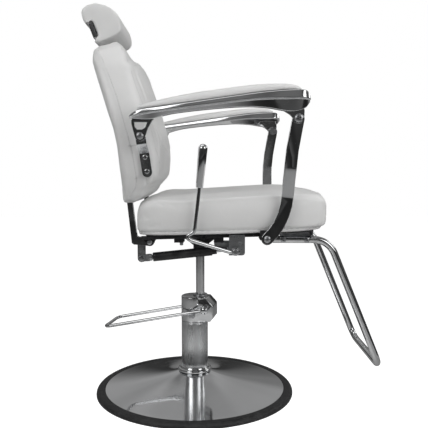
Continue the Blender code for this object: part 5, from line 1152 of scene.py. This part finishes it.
def section_tables(cover):
    """Tables by height of a cover's rear, its front and its half width."""
    tree = ray_tree(cover)
    tables = ([], [], [])
    for k in range(int((SECTION_HIGH - SECTION_LOW) / SECTION_STEP) + 1):
        z = SECTION_LOW + SECTION_STEP * k
        front = tree.ray_cast(Vector((1.0, 0.0, z)), Vector((-1.0, 0.0, 0.0)))[0]
        rear = tree.ray_cast(Vector((-1.0, 0.0, z)), Vector((1.0, 0.0, 0.0)))[0]
        if front is None or rear is None:
            continue
        looks = [rear.x + (front.x - rear.x) * share for share in SIDE_LOOKS]
        sides = [tree.ray_cast(Vector((x, -1.0, z)), Vector((0.0, 1.0, 0.0)))[0] for x in looks]
        wide = max(-hit.y for hit in sides if hit is not None)
        for table, value in zip(tables, (rear.x, front.x, wide)):
            table.append((z, value))
    return tables


def fold_place(z):
    """How far forward the pad's fold lies at a height."""
    return between(FOLD_TABLE, z)


def shoulder(y):
    """Height of the pad's shoulder, which falls towards the sides."""
    return PAD_TOP - SHOULDER_DROP * y * y


SLOT_SIDES, SLOT_SLACK = (0.1944, 0.2153), 0.0004
bm = merged("backrest_cushion")
slots = [f for f in bm.faces
         if any(all(abs(abs(v.co.y) - s) < SLOT_SLACK for v in f.verts) for s in SLOT_SIDES)]
bmesh.ops.delete(bm, geom=slots, context="FACES")
back = even_shell(close_holes(bm), VOXEL, INSET)
rears, fronts, wides = section_tables(back)
print("slot faces closed over", len(slots), "sections", len(rears))

# %% Fit the backrest
# Moves along x, by height, that bring the cover's front and rear to the outline seen in the photograph.
FRONT_MOVES = [(0.574, -0.010), (0.596, -0.016), (0.608, -0.016), (0.620, -0.012), (0.632, -0.007),
               (0.655, -0.007), (0.679, -0.008), (0.727, -0.002), (0.810, -0.001), (0.880, -0.001),
               (0.905, 0.001), (0.925, 0.006), (0.942, 0.010), (0.959, 0.012), (0.990, 0.008)]
REAR_MOVES = [(0.574, -0.004), (0.595, -0.002), (0.616, -0.001), (0.658, 0.000), (0.680, 0.001),
              (0.720, 0.003), (0.760, 0.003), (0.800, 0.001), (0.916, 0.000), (0.940, -0.001), (0.962, 0.002),
              (0.975, 0.006), (0.985, 0.009)]
CORNER_REACH, REAR_SHARE, FRONT_SHARE = 0.030, 0.30, 0.15
TOP_LIFT, TOP_FROM, TOP_LONG, LIFT_FROM, LIFT_LONG = 0.008, 0.940, 0.040, -0.250, 0.065
LOW_DROP, LOW_FROM, LOW_LONG = 0.008, 0.612, 0.025
NOTCH, NOTCH_LONG, NOTCH_FADE = 0.022, 0.010, 12.0


def fitted(co):
    """A point of the back with crisper corners, the right outline, a raised front top and a flat foot."""
    x, y, z = co
    rear, front, wide = between(rears, z), between(fronts, z), between(wides, z)
    side_share = FRONT_SHARE if x > fold_place(z) else SQUARE_SHARE
    if x > 0.5 * (rear + front):
        x = front - squarer(front - x, CORNER_REACH, FRONT_SHARE)
    else:
        x = rear + squarer(x - rear, CORNER_REACH, REAR_SHARE)
    share = min(1.0, max(0.0, (x - rear) / (front - rear)))
    lift = TOP_LIFT * ramp((z - TOP_FROM) / TOP_LONG) * ramp((x - LIFT_FROM) / LIFT_LONG)
    drop = LOW_DROP * ramp((LOW_FROM - z) / LOW_LONG)
    cut = NOTCH * (1.0 - NOTCH_FADE * y * y) * ramp((z - shoulder(y)) / NOTCH_LONG)
    x += (between(FRONT_MOVES, z) - cut) * share + between(REAR_MOVES, z) * (1.0 - share)
    return (x, math.copysign(wide - squarer(wide - abs(y), CORNER_REACH, side_share), y), z + lift - drop)


most = 0.0
for point in back.data.vertices:
    place = Vector(fitted(point.co))
    most = max(most, (place - point.co).length)
    point.co = place
back.data.update()
print("largest move mm", round(most * 1000, 1))

# %% Fill the backrest
FRONT_ROW = [(-0.1976, 0.9923), (-0.1818, 0.9679), (-0.1658, 0.9382), (-0.1524, 0.9031), (-0.1412, 0.8694),
             (-0.1256, 0.8290), (-0.1053, 0.7694), (-0.0966, 0.7374), (-0.0906, 0.7079), (-0.0858, 0.6906),
             (-0.0836, 0.6709), (-0.0868, 0.6336)]
REAR_ROW = [(-0.2415, 0.9646), (-0.2249, 0.9353), (-0.2042, 0.8874), (-0.1853, 0.8390), (-0.1745, 0.8014),
            (-0.1595, 0.7497), (-0.1475, 0.7029), (-0.1398, 0.6535), (-0.1379, 0.6336)]
DART = [(-0.1572, 0.7177), (-0.1375, 0.7202), (-0.1127, 0.7275), (-0.0954, 0.7288)]
REAR_FOLD = [(-0.1379, 0.6336), (-0.1430, 0.6108), (-0.1603, 0.5873)]
LOW_FOLD = [(-0.1140, 0.6386), (-0.1136, 0.6209), (-0.1159, 0.6005)]
OVER_HALF, OVER_STEPS = 0.19, 30
FOLD_BACK, FOLD_FROM, FOLD_LONG, FOLD_DEEP, FOLD_WIDE = 0.005, 0.80, 0.10, 0.0022, 0.0040
PAD_RISE, PAD_EDGE, BACK_LIMIT = 0.0015, 0.010, 0.003


def on_sides(cover, *lines):
    """Lays lines of (x, z) points on both sides of a cover."""
    return [cast_line(cover, [((x, sign * 1.0, z), (0.0, -sign, 0.0)) for x, z in line])
            for line in lines for sign in (-1, 1)]


def pad_rise(co):
    """The pad stands out from the shell, from its fold inwards."""
    if co.x < fold_place(co.z) or co.z > shoulder(co.y):
        return 0.0
    return PAD_RISE * (1.0 - math.exp(-(to_pad(co)[0] / PAD_EDGE) ** 2))


across = [OVER_HALF * k / OVER_STEPS for k in range(-OVER_STEPS, OVER_STEPS + 1)]
over = cast_line(back, [((1.0, y, shoulder(y)), (-1.0, 0.0, 0.0)) for y in across])
fold_line = [(x + min(0.0, between(FRONT_MOVES, z)) - FOLD_BACK * ramp((FOLD_FROM - z) / FOLD_LONG), z)
             for x, z in FRONT_FOLD]
pad_loop = on_sides(back, fold_line) + [over]
folds = pad_loop + on_sides(back, REAR_FOLD, LOW_FOLD)
rows = on_sides(back, FRONT_ROW, REAR_ROW, DART)
to_pad, to_seam = seam_finder(pad_loop), seam_finder(folds + rows)
pinned = [v.index for v in back.data.vertices if to_seam(v.co)[0] < PIN_NEAR]
print("back rose mm", round(swell(back, pinned, BACK_LIMIT) * 1000, 2))
sew(back, "back_cover", "backrest_cushion", folds, rows, FOLD_DEEP, FOLD_WIDE, pad_rise)

# %% [markdown]
# ## Headrest
# A short roll with a hard bar in its rear notch. The end panels are sewn in with a rolled edge.

# %% Fill the headrest
HEAD_HALF, HEAD_CORNER, HEAD_LIMIT = 0.1195, 0.014, 0.002
HEAD_DEEP, HEAD_WIDE = 0.0012, 0.003
HEAD_SEAM = [(-0.2673, 0.9986), (-0.2486, 0.9999), (-0.2217, 1.0105), (-0.2002, 1.0210), (-0.1921, 1.0301),
             (-0.1932, 1.0458), (-0.1970, 1.0641)]
rest_pad = even_shell(merged("headrest_cushion"), FINE_VOXEL, INSET)
for point in rest_pad.data.vertices:
    point.co.y = math.copysign(HEAD_HALF - squarer(HEAD_HALF - abs(point.co.y), HEAD_CORNER), point.co.y)
folds = on_sides(rest_pad, HEAD_SEAM)
to_seam = seam_finder(folds)
pinned = [v.index for v in rest_pad.data.vertices if to_seam(v.co)[0] < HEAD_WIDE]
print("headrest rose mm", round(swell(rest_pad, pinned, HEAD_LIMIT) * 1000, 2))
sew(rest_pad, "headrest_cover", "headrest_cushion", folds, [], HEAD_DEEP, HEAD_WIDE)

# %% [markdown]
# ## Arm pads
# Each pad is a thin foam strip with a cover, screwed to the armrest from below.

# %% Fill the arm pads
ARM_INSET, ARM_LIMIT, UNDERSIDE = 0.0003, 0.0015, -0.5
for side in ("L", "R"):
    pad = even_shell(merged(f"arm_pad_{side}"), FINE_VOXEL, ARM_INSET)
    pinned = [v.index for v in pad.data.vertices if v.normal.z < UNDERSIDE]
    print("arm pad rose mm", round(swell(pad, pinned, ARM_LIMIT) * 1000, 2))
    sew(pad, f"arm_cover_{side}", f"arm_pad_{side}")

# %% Show the hidden solids in their finishes
for node in ("base_plate", "seat_board"):
    frame["nodes"][node].data.materials.clear()
    frame["nodes"][node].data.materials.append(FINISH_OF[slot_with[node]])
print("plain nodes finished")

# %% [markdown]
# ## Measure and finish
# The dressed chair's box is measured, and how far it reaches past the solids' box is printed. The dressed
# chair has to keep the size of the solids.

# %% Finish
dressed_low, dressed_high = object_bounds()
grown = (dressed_high - cad_high, cad_low - dressed_low)
print("grew by", [[round(v, 4) for v in side] for side in grown])
